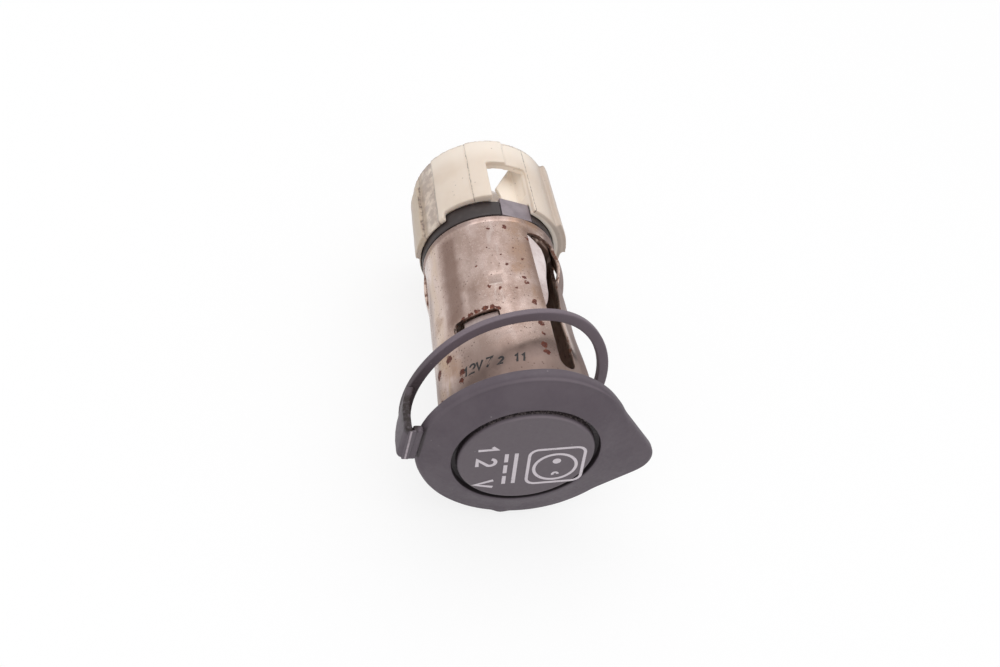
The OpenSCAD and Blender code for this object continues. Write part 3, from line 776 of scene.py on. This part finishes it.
class Paint:
    """A material under construction: lengths inside it are in millimetres, and coats lie in order."""

    def __init__(self, name):
        self.material = bpy.data.materials.new(name)
        self.material.use_nodes = True
        self.tree = self.material.node_tree
        self.shader = self.tree.nodes["Principled BSDF"]
        metres = self.node("TexCoord").outputs["Object"]
        self.place = self.vector("MULTIPLY", metres, (1 / MM, 1 / MM, 1 / MM))[0]
        self.x, self.along, self.z = self.node("SeparateXYZ", {0: self.place}).outputs
        self.colour = None

    def node(self, kind, inputs=None, **settings):
        return add_node(self.tree, kind, inputs or {}, **settings)

    def vector(self, operation, *values):
        return self.node("VectorMath", dict(enumerate(values)), operation=operation).outputs

    def maths(self, operation, *values):
        return self.node("Math", dict(enumerate(values)), operation=operation).outputs[0]

    def times(self, product, *values):
        for value in values:
            product = self.maths("MULTIPLY", product, value)
        return product

    def plus(self, first, second):
        return self.maths("ADD", first, second)

    def less(self, first, second):
        return self.maths("SUBTRACT", first, second)

    def most(self, first, second):
        return self.maths("MAXIMUM", first, second)

    def stretch(self, *scale):
        """The place, squeezed or stretched along X, Y and Z."""
        return self.vector("MULTIPLY", self.place, scale)[0]

    def cloud(self, scale, detail=3.0, rough=0.55, place=None):
        """Soft noise, mostly from 0.3 to 0.7."""
        made = self.node("TexNoise", {"Vector": place or self.place, "Scale": scale, "Detail": detail,
                                      "Roughness": rough})
        return made.outputs["Fac"]

    def step(self, value, low, high, to_low=0.0, to_high=1.0):
        """A soft step from to_low at low to to_high at high."""
        made = self.node("MapRange", {"Value": value, "From Min": low, "From Max": high, "To Min": to_low,
                                      "To Max": to_high}, interpolation_type="SMOOTHSTEP")
        return made.outputs["Result"]

    def spread(self, noise_value, low, high):
        """The range of a cloud, laid out from low to high."""
        return self.step(noise_value, 0.3, 0.7, low, high)

    def mix(self, share, first, second):
        return mix_tones(self.tree, share, first, second)

    def base(self, share, first, second):
        """The first coat, mottled from two tones."""
        self.colour = self.mix(share, first, second)

    def coat(self, share, tone, strength=None):
        """A share of a tone over the coats so far, weaker where a strength is given."""
        if strength:
            share = self.times(share, strength)
        self.colour = self.mix(share, self.colour, tone)

    def clock(self, x0=0.0, z0=0.0):
        """The clock angle in degrees about an axis that may be shifted, from -180 to 180."""
        turn = self.maths("ARCTAN2", self.less(self.z, z0), self.less(self.x, x0))
        return self.times(turn, 180 / pi)

    def radius(self, x0=0.0, z0=0.0):
        """The distance from the shell's axis, or from one that is shifted."""
        across, up = self.less(self.x, x0), self.less(self.z, z0)
        return self.maths("SQRT", self.plus(self.times(across, across), self.times(up, up)))

    def spots(self, centres, ragged, scale):
        """Ragged spots: 1 in the middle of each (point in millimetres, radius)."""
        rough = self.node("TexNoise", {"Vector": self.place, "Scale": scale, "Detail": 4.0})
        shift = self.vector("SUBTRACT", rough.outputs["Color"], (0.5, 0.5, 0.5))[0]
        torn = self.vector("ADD", self.place, self.vector("MULTIPLY", shift, (2 * ragged,) * 3)[0])[0]
        total = 0.0
        for centre, radius in centres:
            away = self.vector("DISTANCE", torn, centre)["Value"]
            total = self.most(total, self.step(away, radius, radius * 0.35))
        return total

    def specks(self, scale, far, near):
        """Small round specks: 0 beyond far from their middles, 1 nearer than near."""
        cells = self.node("TexVoronoi", {"Vector": self.place, "Scale": scale, "Randomness": 1.0})
        return self.step(cells.outputs["Distance"], far, near)

    def band(self, value, middle, half, soft):
        """1 within half of the middle, fading over soft."""
        away = self.maths("ABSOLUTE", self.less(value, middle))
        return self.step(away, half + soft, half)

    def relief(self, height, strength, distance):
        """Bumps up to a distance in millimetres."""
        bumps = {"Height": height, "Strength": strength, "Distance": distance * MM}
        return self.node("Bump", bumps).outputs[0]

    def finish(self, roughness, metallic, normal=None, **fixed):
        """Hands the coats and the other channels to the shader."""
        feed(self.tree, self.shader, {"Base Color": self.colour, "Roughness": roughness,
                                      "Metallic": metallic, "Normal": normal})
        feed(self.tree, self.shader, {name.replace("_", " "): value for name, value in fixed.items()})
        return self.material


def on_shell(clock, along):
    """A place on the shell's skin, in millimetres."""
    return tuple(polar(clock, shell_radius(along), along) / MM)


# Rust and stains on the shell: clock angle, place along the axis, radius
RUST = [(91.9, 35.2, 0.8), (105.9, 35.0, 0.5), (84.5, 23.2, 0.75), (83.1, 22.0, 0.7), (92.6, 20.7, 0.5),
        (113.4, 21.7, 0.5), (105.7, 20.9, 0.55), (121.3, 26.9, 0.4), (96.6, 26.1, 0.5), (82.5, 27.6, 0.45),
        (80.1, 17.9, 0.95), (132, 17.1, 0.75), (126.5, 17.1, 0.85), (120.1, 17.2, 0.95),
        (114.2, 17.2, 0.95), (110.3, 16.6, 0.9), (79.4, 13.2, 0.9), (80.6, 8.6, 1.0), (80.1, 7.1, 0.9),
        (157.8, 11.2, 1.3), (175.6, 10.8, 1.5), (146.1, 6.8, 1.1), (147.5, 5.4, 0.8), (176, 4.6, 1.8),
        (79, 11, 0.5), (139, 16.9, 0.8), (73, 33, 0.7), (88, 30, 0.4), (100, 28.5, 0.35), (110, 30.5, 0.3)]
STAINS = [(166, 13, 4.0), (170, 20, 2.5), (158, 9, 3.5), (76, 30, 4.5), (80, 35, 3.5), (180, 4, 4.0),
          (75, 20, 3.0), (64, 36.8, 2.4), (86, 26, 2.6)]
# Painted dark reflections, drawn as bands along the tube: clock angle, half width, fade, first and last
# place, strength
REFLECTION_BANDS = [(144, 4.0, 8.0, 15.5, 37.0, 0.8), (128, 2.0, 4.0, 17.5, 24.0, 0.4), (96, 1.5, 3.0, 15.0, 26.0, 0.3),
         (69, 2.5, 9.0, 16.0, 37.0, 0.75), (179, 3.0, 6.0, 4.0, 30.0, 0.35)]


def on_skin(spots):
    """Spots given by clock angle, place and radius, as places and radii."""
    return [(on_shell(clock, along), radius) for clock, along, radius in spots]


def reflection_bands(paint, clock):
    """The share of the painted dark reflection bands, with ragged edges and soft ends."""
    torn = paint.maths("MULTIPLY_ADD", paint.cloud(0.35, 4), 7.0, paint.less(clock, 3.5))
    total = 0.0
    for middle, half, fade, first, last, strength in REFLECTION_BANDS:
        here = paint.band(torn, middle, half, fade)
        begun, ended = paint.step(paint.along, first, first + 2.5), paint.step(paint.along, last, last - 2.0)
        total = paint.most(total, paint.times(here, begun, ended, strength))
    return total


def plated_outside():
    """Stained tin plate with a pressed square and rust, under painted light: the cap's and the strap ring's
    painted reflections near the mouth, painted dark reflections in bands, a painted bright reflection,
    painted shade on the slot's far strip, the rear rim and the pressed square, and a painted highlight on
    that square's edge.
    """
    paint = Paint("plated_steel_outside")
    step, band, times = paint.step, paint.band, paint.times
    clock, along = paint.clock(), paint.along
    broad = paint.cloud(0.16, 3)
    streaks = paint.cloud(0.55, 5, place=paint.stretch(1.0, 0.3, 1.0))
    fine = paint.cloud(2.4, 6, 0.75)
    paint.base(step(broad, 0.38, 0.62), (0.52, 0.4, 0.36), (0.40, 0.29, 0.25))
    paint.coat(step(streaks, 0.45, 0.68, 0, 0.6), (0.30, 0.21, 0.175))
    paint.coat(step(streaks, 0.42, 0.3, 0, 0.5), (0.66, 0.55, 0.51))
    paint.coat(step(fine, 0.5, 0.68, 0, 0.55), (0.62, 0.51, 0.47))
    yellow = times(band(clock, 168, 5, 6), step(streaks, 0.44, 0.56, 0, 0.6))
    paint.coat(yellow, (0.50, 0.36, 0.22))
    # A painted reflection: a lighter band along the tube's left side.
    bright_reflection = times(band(clock, 166, 7, 6), band(along, 26, 9, 4))
    paint.coat(bright_reflection, (0.74, 0.6, 0.53), 0.5)
    # The cap's painted dark reflection near the mouth, darkest right at the mouth.
    cap_reflection = times(step(along, 15.5, 8.5, 0, 0.78), step(clock, 158, 138))
    paint.coat(cap_reflection, (0.25, 0.18, 0.155))
    paint.coat(step(along, 7.5, 3.5, 0, 0.62), (0.17, 0.12, 0.105))
    strip = times(step(clock, 52, 46), step(clock, -60, -30))
    shaded = paint.most(times(strip, 0.8), step(along, 36.6, 37.3, 0, 0.55))
    paint.coat(shaded, (0.16, 0.11, 0.1))
    # The strap ring's painted reflection: a soft dark line round the tube near the mouth.
    sloped = paint.maths("MULTIPLY_ADD", clock, 0.055, paint.less(along, 88 * 0.055 + 0.5))
    painted_light = paint.plus(sloped, paint.cloud(0.5, 4))
    ring_reflection = times(band(painted_light, 7.1, 0.5, 1.2), band(clock, 76, 20, 12))
    paint.coat(ring_reflection, (0.15, 0.11, 0.105), 0.25)
    # Painted shade in the pressed square, and a painted highlight along its front edge.
    pressed = band(clock, DIMPLE_CLOCK + 1, 4.8, 0.8)
    square = times(pressed, band(along, DIMPLE_FRONT + 1.1, 0.85, 0.25))
    paint.coat(square, (0.26, 0.19, 0.165), 0.4)
    dimple_edge_highlight = times(pressed, band(along, DIMPLE_FRONT, 0.1, 0.15))
    paint.coat(dimple_edge_highlight, (0.8, 0.7, 0.65), 0.25)
    stain = times(paint.spots(on_skin(STAINS), 2.4, 0.35), step(fine, 0.35, 0.65, 0.3, 0.75))
    paint.coat(stain, (0.34, 0.205, 0.13))
    # Painted dark reflections in bands along the tube.
    paint.coat(reflection_bands(paint, clock), (0.2, 0.125, 0.1))
    speck = times(paint.specks(1.5, 0.24, 0.12), step(paint.cloud(0.35, 2), 0.46, 0.56), 0.8)
    paint.coat(speck, (0.10, 0.05, 0.038))
    zone = paint.spots(on_skin(RUST), 0.5, 1.2)
    grains = paint.cloud(2.9, 5, 0.6)
    rust = step(paint.maths("MULTIPLY_ADD", zone, 0.5, grains), 0.82, 0.89)
    rust_colour = paint.mix(step(fine, 0.5, 0.7), (0.09, 0.022, 0.014), (0.26, 0.07, 0.022))
    paint.coat(rust, rust_colour)
    dull = paint.most(rust, speck)
    matt = paint.most(dull, times(strip, 0.75))
    rough = paint.plus(paint.spread(streaks, 0.17, 0.34), times(matt, 0.45))
    rough = paint.plus(rough, step(along, 11.0, 7.5, 0, 0.13))
    height = paint.plus(times(fine, 0.3), paint.cloud(0.7, 3))
    normal = paint.relief(paint.plus(height, times(dull, 0.6)), 0.4, 0.05)
    return paint.finish(rough, step(matt, 0.2, 0.9, 1.0, 0.15), normal)


def lit_tin():
    """The flap and the tongue: the plate painted paler, as painted light for the light that they catch."""
    paint = Paint("plated_steel_lit")
    fine = paint.cloud(1.8, 5, 0.7)
    broad = paint.cloud(0.4, 3)
    paint.base(paint.step(broad, 0.4, 0.65), (0.74, 0.65, 0.64), (0.62, 0.52, 0.505))
    paint.coat(paint.step(fine, 0.56, 0.75, 0, 0.6), (0.36, 0.26, 0.22))
    stained = paint.times(paint.step(paint.along, 25.5, 22.0, 0, 0.75), paint.step(fine, 0.3, 0.6, 0.4, 1))
    paint.coat(stained, (0.42, 0.32, 0.3))
    paint.coat(paint.step(paint.along, 18.5, 17.0, 0, 0.5), (0.24, 0.18, 0.165))
    return paint.finish(paint.spread(fine, 0.3, 0.45), 0.7, paint.relief(fine, 0.3, 0.04))


def plated_inside():
    """The bore: brown towards the bottom, and painted light makes it paler and pinkish towards the mouth,
    where light comes in.
    """
    paint = Paint("plated_steel_inside")
    fine = paint.cloud(0.9, 5)
    streaks = paint.cloud(0.8, 4, place=paint.stretch(1.0, 0.25, 1.0))
    paint.base(paint.step(fine, 0.35, 0.7), (0.2, 0.12, 0.09), (0.34, 0.22, 0.17))
    paint.coat(paint.step(streaks, 0.52, 0.62, 0, 0.8), (0.62, 0.5, 0.43))
    # Painted light: paler towards the mouth, where light comes into the bore.
    paint.coat(paint.step(paint.along, 33, 25, 0, 0.85), (0.66, 0.49, 0.42))
    paint.coat(paint.step(fine, 0.48, 0.66, 0, 0.55), (0.3, 0.2, 0.16))
    return paint.finish(paint.spread(fine, 0.36, 0.6), 0.35, paint.relief(fine, 0.3, 0.05))


def plated_edge():
    """Cut edges, bare in places and brown with rust elsewhere."""
    paint = Paint("plated_steel_edge")
    fine = paint.cloud(0.8, 4)
    paint.base(paint.step(fine, 0.46, 0.62), (0.5, 0.39, 0.34), (0.16, 0.07, 0.045))
    rough, metal = paint.step(fine, 0.4, 0.7, 0.3, 0.7), paint.step(fine, 0.5, 0.7, 1, 0.3)
    return paint.finish(rough, metal, paint.relief(fine, 0.25, 0.03))


# Dirt along the housing's edges: clock angle, half width in degrees
DIRT_LINES = [(115.2, 0.35), (147.4, 0.6), (64.6, 0.5), (166.6, 0.5)]


def cream_nylon():
    """Aged nylon: cream pads, darker at both sides, with grime in a strip, along edges and at the rear; the
    window's walls are painted paler as painted light.
    """
    paint = Paint("cream_nylon")
    step, band, times = paint.step, paint.band, paint.times
    clock, along = paint.clock(*HOUSING_AT), paint.along
    broad = paint.cloud(0.12, 3)
    fine = paint.cloud(1.3, 5, 0.7)
    paint.base(step(broad, 0.4, 0.65), (0.70, 0.60, 0.505), (0.65, 0.54, 0.44))
    paint.coat(step(along, HOUSING_BACK - 6, HOUSING_BACK - 1.5, 0, 0.8), (0.80, 0.72, 0.63))
    paint.coat(step(clock, 64, 34, 0, 0.9), (0.48, 0.395, 0.33))
    paint.coat(band(clock, 177, 14, 3), (0.49, 0.39, 0.29), 0.85)
    outer = step(paint.radius(*HOUSING_AT), HOUSING_SKIN - 0.3, HOUSING_SKIN)
    # Painted light: below the outer skin, the window's walls and pocket are painted paler.
    paint.coat(paint.less(1.0, outer), (0.88, 0.79, 0.69), 0.8)
    dirty = times(outer, step(paint.cloud(0.5, 5, 0.7), 0.36, 0.62, 0.1, 0.75))
    paint.coat(times(band(clock, 157, 9.5, 2), dirty), (0.33, 0.25, 0.21))
    torn = paint.maths("MULTIPLY_ADD", paint.cloud(0.8, 4), 1.8, paint.less(clock, 0.9))
    lines = 0.0
    for middle, half in DIRT_LINES:
        lines = paint.most(lines, band(torn, middle, half * 0.3, half))
    broken = times(outer, step(paint.cloud(1.5, 5, 0.75), 0.4, 0.62, 0.25, 1.0))
    paint.coat(times(lines, broken), (0.085, 0.055, 0.045), 0.9)
    rear = step(along, HOUSING_BACK - 0.8, HOUSING_BACK - 0.2)
    paint.coat(times(rear, step(fine, 0.42, 0.6, 0.1, 0.8)), (0.2, 0.15, 0.125))
    speck = times(paint.specks(0.75, 0.13, 0.06), step(paint.cloud(0.25, 2), 0.48, 0.56))
    paint.coat(speck, (0.3, 0.24, 0.2), 0.6)
    normal = paint.relief(paint.plus(fine, broad), 0.25, 0.06)
    return paint.finish(paint.spread(fine, 0.36, 0.5), 0.0, normal, Subsurface_Weight=0.12,
                        Subsurface_Radius=(0.0016, 0.0012, 0.0008), Subsurface_Scale=1.0)


def black_moulding():
    """Dusty black collar; inside the shell, streaked with rust from it."""
    paint = Paint("black_moulding")
    fine = paint.cloud(2.0, 5, 0.7)
    dust = paint.step(paint.cloud(0.5, 4), 0.5, 0.7, 0, 0.5)
    paint.base(dust, (0.022, 0.014, 0.014), (0.05, 0.036, 0.035))
    streaks = paint.step(paint.cloud(0.7, 4, place=paint.stretch(1.0, 1.0, 0.4)), 0.5, 0.62)
    rusty = paint.mix(streaks, (0.13, 0.075, 0.055), (0.5, 0.37, 0.31))
    paint.coat(paint.step(paint.along, 36.6, 36.2, 0, 0.9), rusty)
    return paint.finish(paint.spread(fine, 0.38, 0.55), 0.0, paint.relief(fine, 0.3, 0.04))


def tin(name, first, second, metallic=0.9, inner=None):
    """Mottled sheet or turned metal with fine rolling lines; inner is its tone inside the bore."""
    paint = Paint(name)
    broad = paint.cloud(0.35, 4)
    lines = paint.cloud(1.6, 3, place=paint.stretch(0.3, 1.0, 1.0))
    paint.base(paint.step(broad, 0.38, 0.65), first, second)
    if inner:
        paint.coat(paint.step(paint.radius(), 11.3, 10.8, 0, 0.85), inner)
    return paint.finish(paint.spread(lines, 0.32, 0.5), metallic, paint.relief(lines, 0.25, 0.03))


def fibre_sheet():
    paint = Paint("fibre")
    strands = paint.cloud(3.0, 5, 0.7, paint.stretch(1.0, 4.0, 1.0))
    paint.base(paint.step(strands, 0.35, 0.65), (0.2, 0.1, 0.06), (0.12, 0.06, 0.035))
    return paint.finish(0.75, 0.0, paint.relief(strands, 0.4, 0.08))


# Grime and painted shade on the strap's end: place, radius
STRAP_GRIME_AND_SHADE = [((-19.0, -2.2, 5.0), 1.9), ((-19.3, -0.6, 5.0), 2.0), ((-19.2, 1.2, 4.9), 1.9),
          ((-18.9, 3.0, 4.7), 1.5)]


def grey_elastomer():
    """The cap and strap: paler ring and disc, painted shade in the groove and in the hinge's corner, painted
    highlights on the upper edges, lint, dust, and grime with painted shade on the strap.
    """
    paint = Paint("grey_elastomer")
    step, band, times = paint.step, paint.band, paint.times
    x, along, z = paint.x, paint.along, paint.z
    broad = paint.cloud(0.14, 3)
    grain = paint.cloud(6.0, 4, 0.7)
    fine = paint.cloud(1.4, 5, 0.7)
    paint.base(step(broad, 0.38, 0.64), (0.082, 0.063, 0.078), (0.096, 0.076, 0.091))
    radius = paint.radius()
    ring = times(step(along, 0.5, 2.5), step(x, -17.5, -12.0, 0.35, 1))
    paint.coat(ring, (0.15, 0.118, 0.138))
    raised = step(along, FACE_TOP, BOSS_FRONT + 0.1)
    disc = times(raised, step(radius, BOSS_R + 0.2, BOSS_R))
    paint.coat(disc, (0.115, 0.094, 0.108))
    # Painted highlights: pale lines on the upper part of the rim's and the disc's edges, where light from
    # above catches them.
    upward = times(step(z, 5.0, 12.0), step(x, -12.0, 0.0, 0.3, 1))
    rim_line = times(band(radius, CAP_R - 0.55, 0.1, 0.35), step(along, -1.8, -2.1))
    edge_line = times(band(radius, BOSS_R - 0.3, 0.08, 0.25), raised)
    painted_light = times(upward, paint.most(rim_line, edge_line))
    paint.coat(painted_light, (0.23, 0.19, 0.215), 0.42)
    # Painted shade in the corner where the hinge land meets the rim.
    corner = times(band(x, -16.75, 0.15, 0.35), band(z, 1.0, 3.6, 0.6), step(along, -2.0, -2.3))
    paint.coat(corner, (0.03, 0.022, 0.025), 0.85)
    # Painted shade in the groove; dust lies on its upper side.
    groove = times(band(radius, BOSS_R + GROOVE_W / 2, GROOVE_W / 2, 0.1),
                   band(along, GROOVE_FLOOR - 0.3, 0.5, 0.4))
    paint.coat(groove, (0.028, 0.021, 0.024))
    dusty = times(groove, step(z, 3, 9), step(paint.cloud(2.6, 4, 0.8), 0.45, 0.62))
    paint.coat(dusty, (0.2, 0.165, 0.165))
    lint = times(paint.specks(0.5, 0.09, 0.04), step(fine, 0.45, 0.6))
    paint.coat(lint, (0.32, 0.29, 0.3), 0.45)
    # Grime and painted shade on the strap's end.
    grime_and_shade = times(paint.spots(STRAP_GRIME_AND_SHADE, 0.9, 0.9), step(fine, 0.35, 0.55, 0.5, 1.0))
    paint.coat(grime_and_shade, (0.014, 0.007, 0.006))
    # Grime and painted shade on the strap behind the flange, by the hinge.
    hinge_shade_and_grime = times(step(x, -14.5, -18.5), step(along, 0.5, 5.0))
    paint.coat(hinge_shade_and_grime, (0.035, 0.025, 0.024), 0.5)
    height = paint.plus(times(grain, 0.5), paint.plus(fine, times(grime_and_shade, 1.5)))
    return paint.finish(paint.spread(fine, 0.5, 0.62), 0.0, paint.relief(height, 0.3, 0.05),
                        Specular_IOR_Level=0.4)


def stressed_web():
    """A pale line along the crease: a painted highlight, and the whitening of the rubber where it bends."""
    paint = Paint("grey_elastomer_crease")
    fine = paint.cloud(1.6, 4)
    slanted = paint.maths("MULTIPLY_ADD", paint.z, 0.03, paint.x)
    line = paint.times(paint.band(slanted, HINGE_X - 0.1, 0.06, 0.16), paint.band(paint.z, 1.2, 3.3, 0.9))
    pale = paint.times(line, paint.step(fine, 0.3, 0.6, 0.55, 1))
    # The pale line is partly a painted highlight, partly whitening where the rubber bends.
    paint.base(pale, (0.088, 0.069, 0.084), (0.42, 0.36, 0.39))
    return paint.finish(0.5, 0.0, paint.relief(fine, 0.3, 0.05))


def ink(name, colour, worn_to, amount):
    """Printed ink, thin and chipped in places."""
    paint = Paint(name)
    chips = paint.step(paint.cloud(1.7, 5, 0.75), amount, amount - 0.05)
    tone = paint.mix(paint.cloud(5.0, 3), colour, tuple(v * 0.88 for v in colour))
    paint.base(chips, worn_to, tone)
    return paint.finish(0.5, 0.0, paint.relief(chips, 0.2, 0.01))


def even_skin(made, voxel, rounds):
    """Gives a piece an even skin and rounds its edges, with modifiers alone."""
    remesh = made.modifiers.new("even", "REMESH")
    remesh.mode = "VOXEL"
    remesh.voxel_size = voxel * MM * 1
    remesh.use_smooth_shade = True
    smooth = made.modifiers.new("soft", "SMOOTH")
    smooth.factor = 0.5
    smooth.iterations = rounds


def soften(node, voxel, rounds, material):
    """Rounds a CAD node's edges as its mould or its press does, without changing its mesh."""
    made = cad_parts[node]
    made.data.materials.clear()
    made.data.materials.append(material)
    even_skin(made, voxel, rounds)


def dress_shell():
    """The drawn shell, the flap along its slot and the tongue behind its window."""
    outside, inner, edge = plated_outside(), plated_inside(), plated_edge()
    shell = build_shell()
    flap = build_patch("contact_flap", 10, 40, flap_point)
    tongue = build_patch("window_tongue", 16, 10, tongue_point)
    # The flap and the tongue get the plate painted paler, as painted light.
    lit_plate = lit_tin()
    for sheet, face in ((shell, outside), (flap, lit_plate), (tongue, lit_plate)):
        for material in (face, inner, edge):
            sheet.data.materials.append(material)


def dress_cap(rubber):
    cap = build_cap()
    land, web = build_hinge()
    for piece, material in ((cap, rubber), (land, rubber), (web, stressed_web())):
        piece.data.materials.append(material)


def print_labels():
    white = ink("white_ink", (0.66, 0.60, 0.64), (0.1, 0.08, 0.095), 0.66)
    black = ink("black_ink", (0.010, 0.007, 0.008), (0.3, 0.22, 0.19), 0.74)
    build_print("cap_print", cap_label(), on_cap, "cap", white)
    build_print("barrel_print", barrel_label(), on_barrel, "socket", black)


def dress_nodes():
    """The solids that the scene keeps: node, voxel of its even skin, rounds of smoothing, material."""
    earth = tin("earth_tin", (0.285, 0.245, 0.265), (0.22, 0.185, 0.205), 0.6, (0.85, 0.78, 0.73))
    terminal = tin("terminal_tin", (0.56, 0.53, 0.52), (0.42, 0.39, 0.38))
    washer = tin("washer_tin", (0.5, 0.5, 0.51), (0.4, 0.4, 0.41))
    brass = tin("contact_brass", (0.62, 0.46, 0.2), (0.44, 0.31, 0.14), 0.95)
    for kept in (("connector_housing", 0.2, 5, cream_nylon()), ("base_insulator", 0.2, 4, black_moulding()),
                 ("earth_strip", 0.11, 3, earth), ("positive_terminal", 0.12, 3, terminal),
                 ("rear_washer", 0.12, 3, washer), ("centre_contact", 0.12, 4, brass),
                 ("centre_rivet", 0.12, 3, brass), ("fibre_washer", 0.15, 3, fibre_sheet())):
        soften(*kept)


def dress():
    rubber = grey_elastomer()
    dress_shell()
    dress_cap(rubber)
    print_labels()
    dress_nodes()
    build_strap(rubber)


# Stage: pale floor, soft light and the photograph's viewpoint

CAMERA_AT = Vector((-57.0, -112.5, 152.9)) * MM
CAMERA_RIGHT = Vector((0.962, -0.145, 0.229)).normalized()
CAMERA_UP = Vector((-0.040, 0.760, 0.650)).normalized()
LENS, SENSOR = 44.9, 36
FLOOR_HALF, FLOOR_DROP = 1.2, 0.0001
# Soft lamps, in metres and watts: name, place, size, power
LAMPS = [("overhead", (0.0, 0.12, 0.55), (0.8, 0.7), 1.9),
         ("front_left", (-0.4, -0.35, 0.3), (0.4, 0.4), 0.3),
         ("front", (0.15, -0.5, 0.33), (0.5, 0.1), 0.3)]
LAMPS_AIM = Vector((0, 0.02, 0))
# The room's light on the object, from its floor upwards: height, tone
ROOM = [(0.0, (0.13, 0.125, 0.125, 1)), (0.22, (0.4, 0.39, 0.39, 1)), (0.75, (0.85, 0.85, 0.86, 1))]


def pale_rays(tree):
    """1 for the rays that see the white backdrop: the camera's, and those in metal and glass."""
    rays = add_node(tree, "LightPath", {}).outputs
    total = rays["Is Camera Ray"]
    for name in ("Is Glossy Ray", "Is Transmission Ray"):
        total = add_node(tree, "Math", {0: total, 1: rays[name]}, operation="MAXIMUM").outputs[0]
    return total


def paper(name, colour, glow):
    """Matt paper that the camera sees a little brighter than its light, so that it stays pale."""
    paint = Paint(name)
    paint.base(paint.cloud(0.02, 3), colour, tuple(v * 0.985 for v in colour))
    paint.finish(0.9, 0.0)
    glowing = paint.node("Emission", {"Color": (1, 1, 1, 1), "Strength": 1.0})
    seen = paint.times(pale_rays(paint.tree), glow)
    mixed = paint.node("MixShader", {0: seen, 1: paint.shader.outputs[0], 2: glowing.outputs[0]})
    feed(paint.tree, paint.tree.nodes["Material Output"], {"Surface": mixed.outputs[0]})
    return paint.material


def lay_floor(lowest):
    mesh = bpy.data.meshes.new("floor")
    corners = [(x * FLOOR_HALF, y * FLOOR_HALF, lowest) for x, y in ((-1, -1), (1, -1), (1, 1), (-1, 1))]
    mesh.from_pydata(corners, [], [(0, 1, 2, 3)])
    mesh.materials.append(paper("floor_paper", (0.86, 0.86, 0.86), 0.8))
    floor = add_object(mesh)


def light_world():
    """White to the camera; for the object, a soft room that is darker near the horizon."""
    world = bpy.data.worlds.new("room")
    scene.world = world
    world.use_nodes = True
    tree = world.node_tree
    split = add_node(tree, "SeparateXYZ", {0: add_node(tree, "TexCoord", {}).outputs["Generated"]})
    ramp = add_node(tree, "ValToRGB", {0: split.outputs["Z"]})
    (low, low_tone), (middle, middle_tone), (high, high_tone) = ROOM
    stops = ramp.color_ramp.elements
    stops[0].position, stops[0].color = low, low_tone
    stops[1].position, stops[1].color = high, high_tone
    stops.new(middle).color = middle_tone
    seen = mix_tones(tree, pale_rays(tree), ramp.outputs[0], (1, 1, 1))
    feed(tree, tree.nodes["Background"], {"Color": seen})


def soft_lamp(name, at, size, power):
    data = bpy.data.lights.new(name, "AREA")
    data.shape = "RECTANGLE"
    data.size, data.size_y = size
    data.energy = power
    lamp = bpy.data.objects.new(name, data)
    lamp.location = at
    lamp.rotation_euler = (LAMPS_AIM - Vector(at)).to_track_quat("-Z", "Y").to_euler()
    scene.collection.objects.link(lamp)


def place_camera():
    data = bpy.data.cameras.new("camera")
    data.lens, data.sensor_width = LENS, SENSOR
    data.clip_start, data.clip_end = 0.01, 10
    camera = bpy.data.objects.new("camera", data)
    back = CAMERA_RIGHT.cross(CAMERA_UP).normalized()
    up = back.cross(CAMERA_RIGHT)
    turn = Matrix((CAMERA_RIGHT, up, back)).transposed()
    camera.matrix_world = Matrix.Translation(CAMERA_AT) @ turn.to_4x4()
    scene.collection.objects.link(camera)
    scene.camera = camera


def set_stage():
    scene.view_settings.view_transform = "Standard"
    lay_floor(cad_box[0].z - FLOOR_DROP)
    light_world()
    for lamp in LAMPS:
        soft_lamp(*lamp)
    place_camera()


dress()
set_stage()
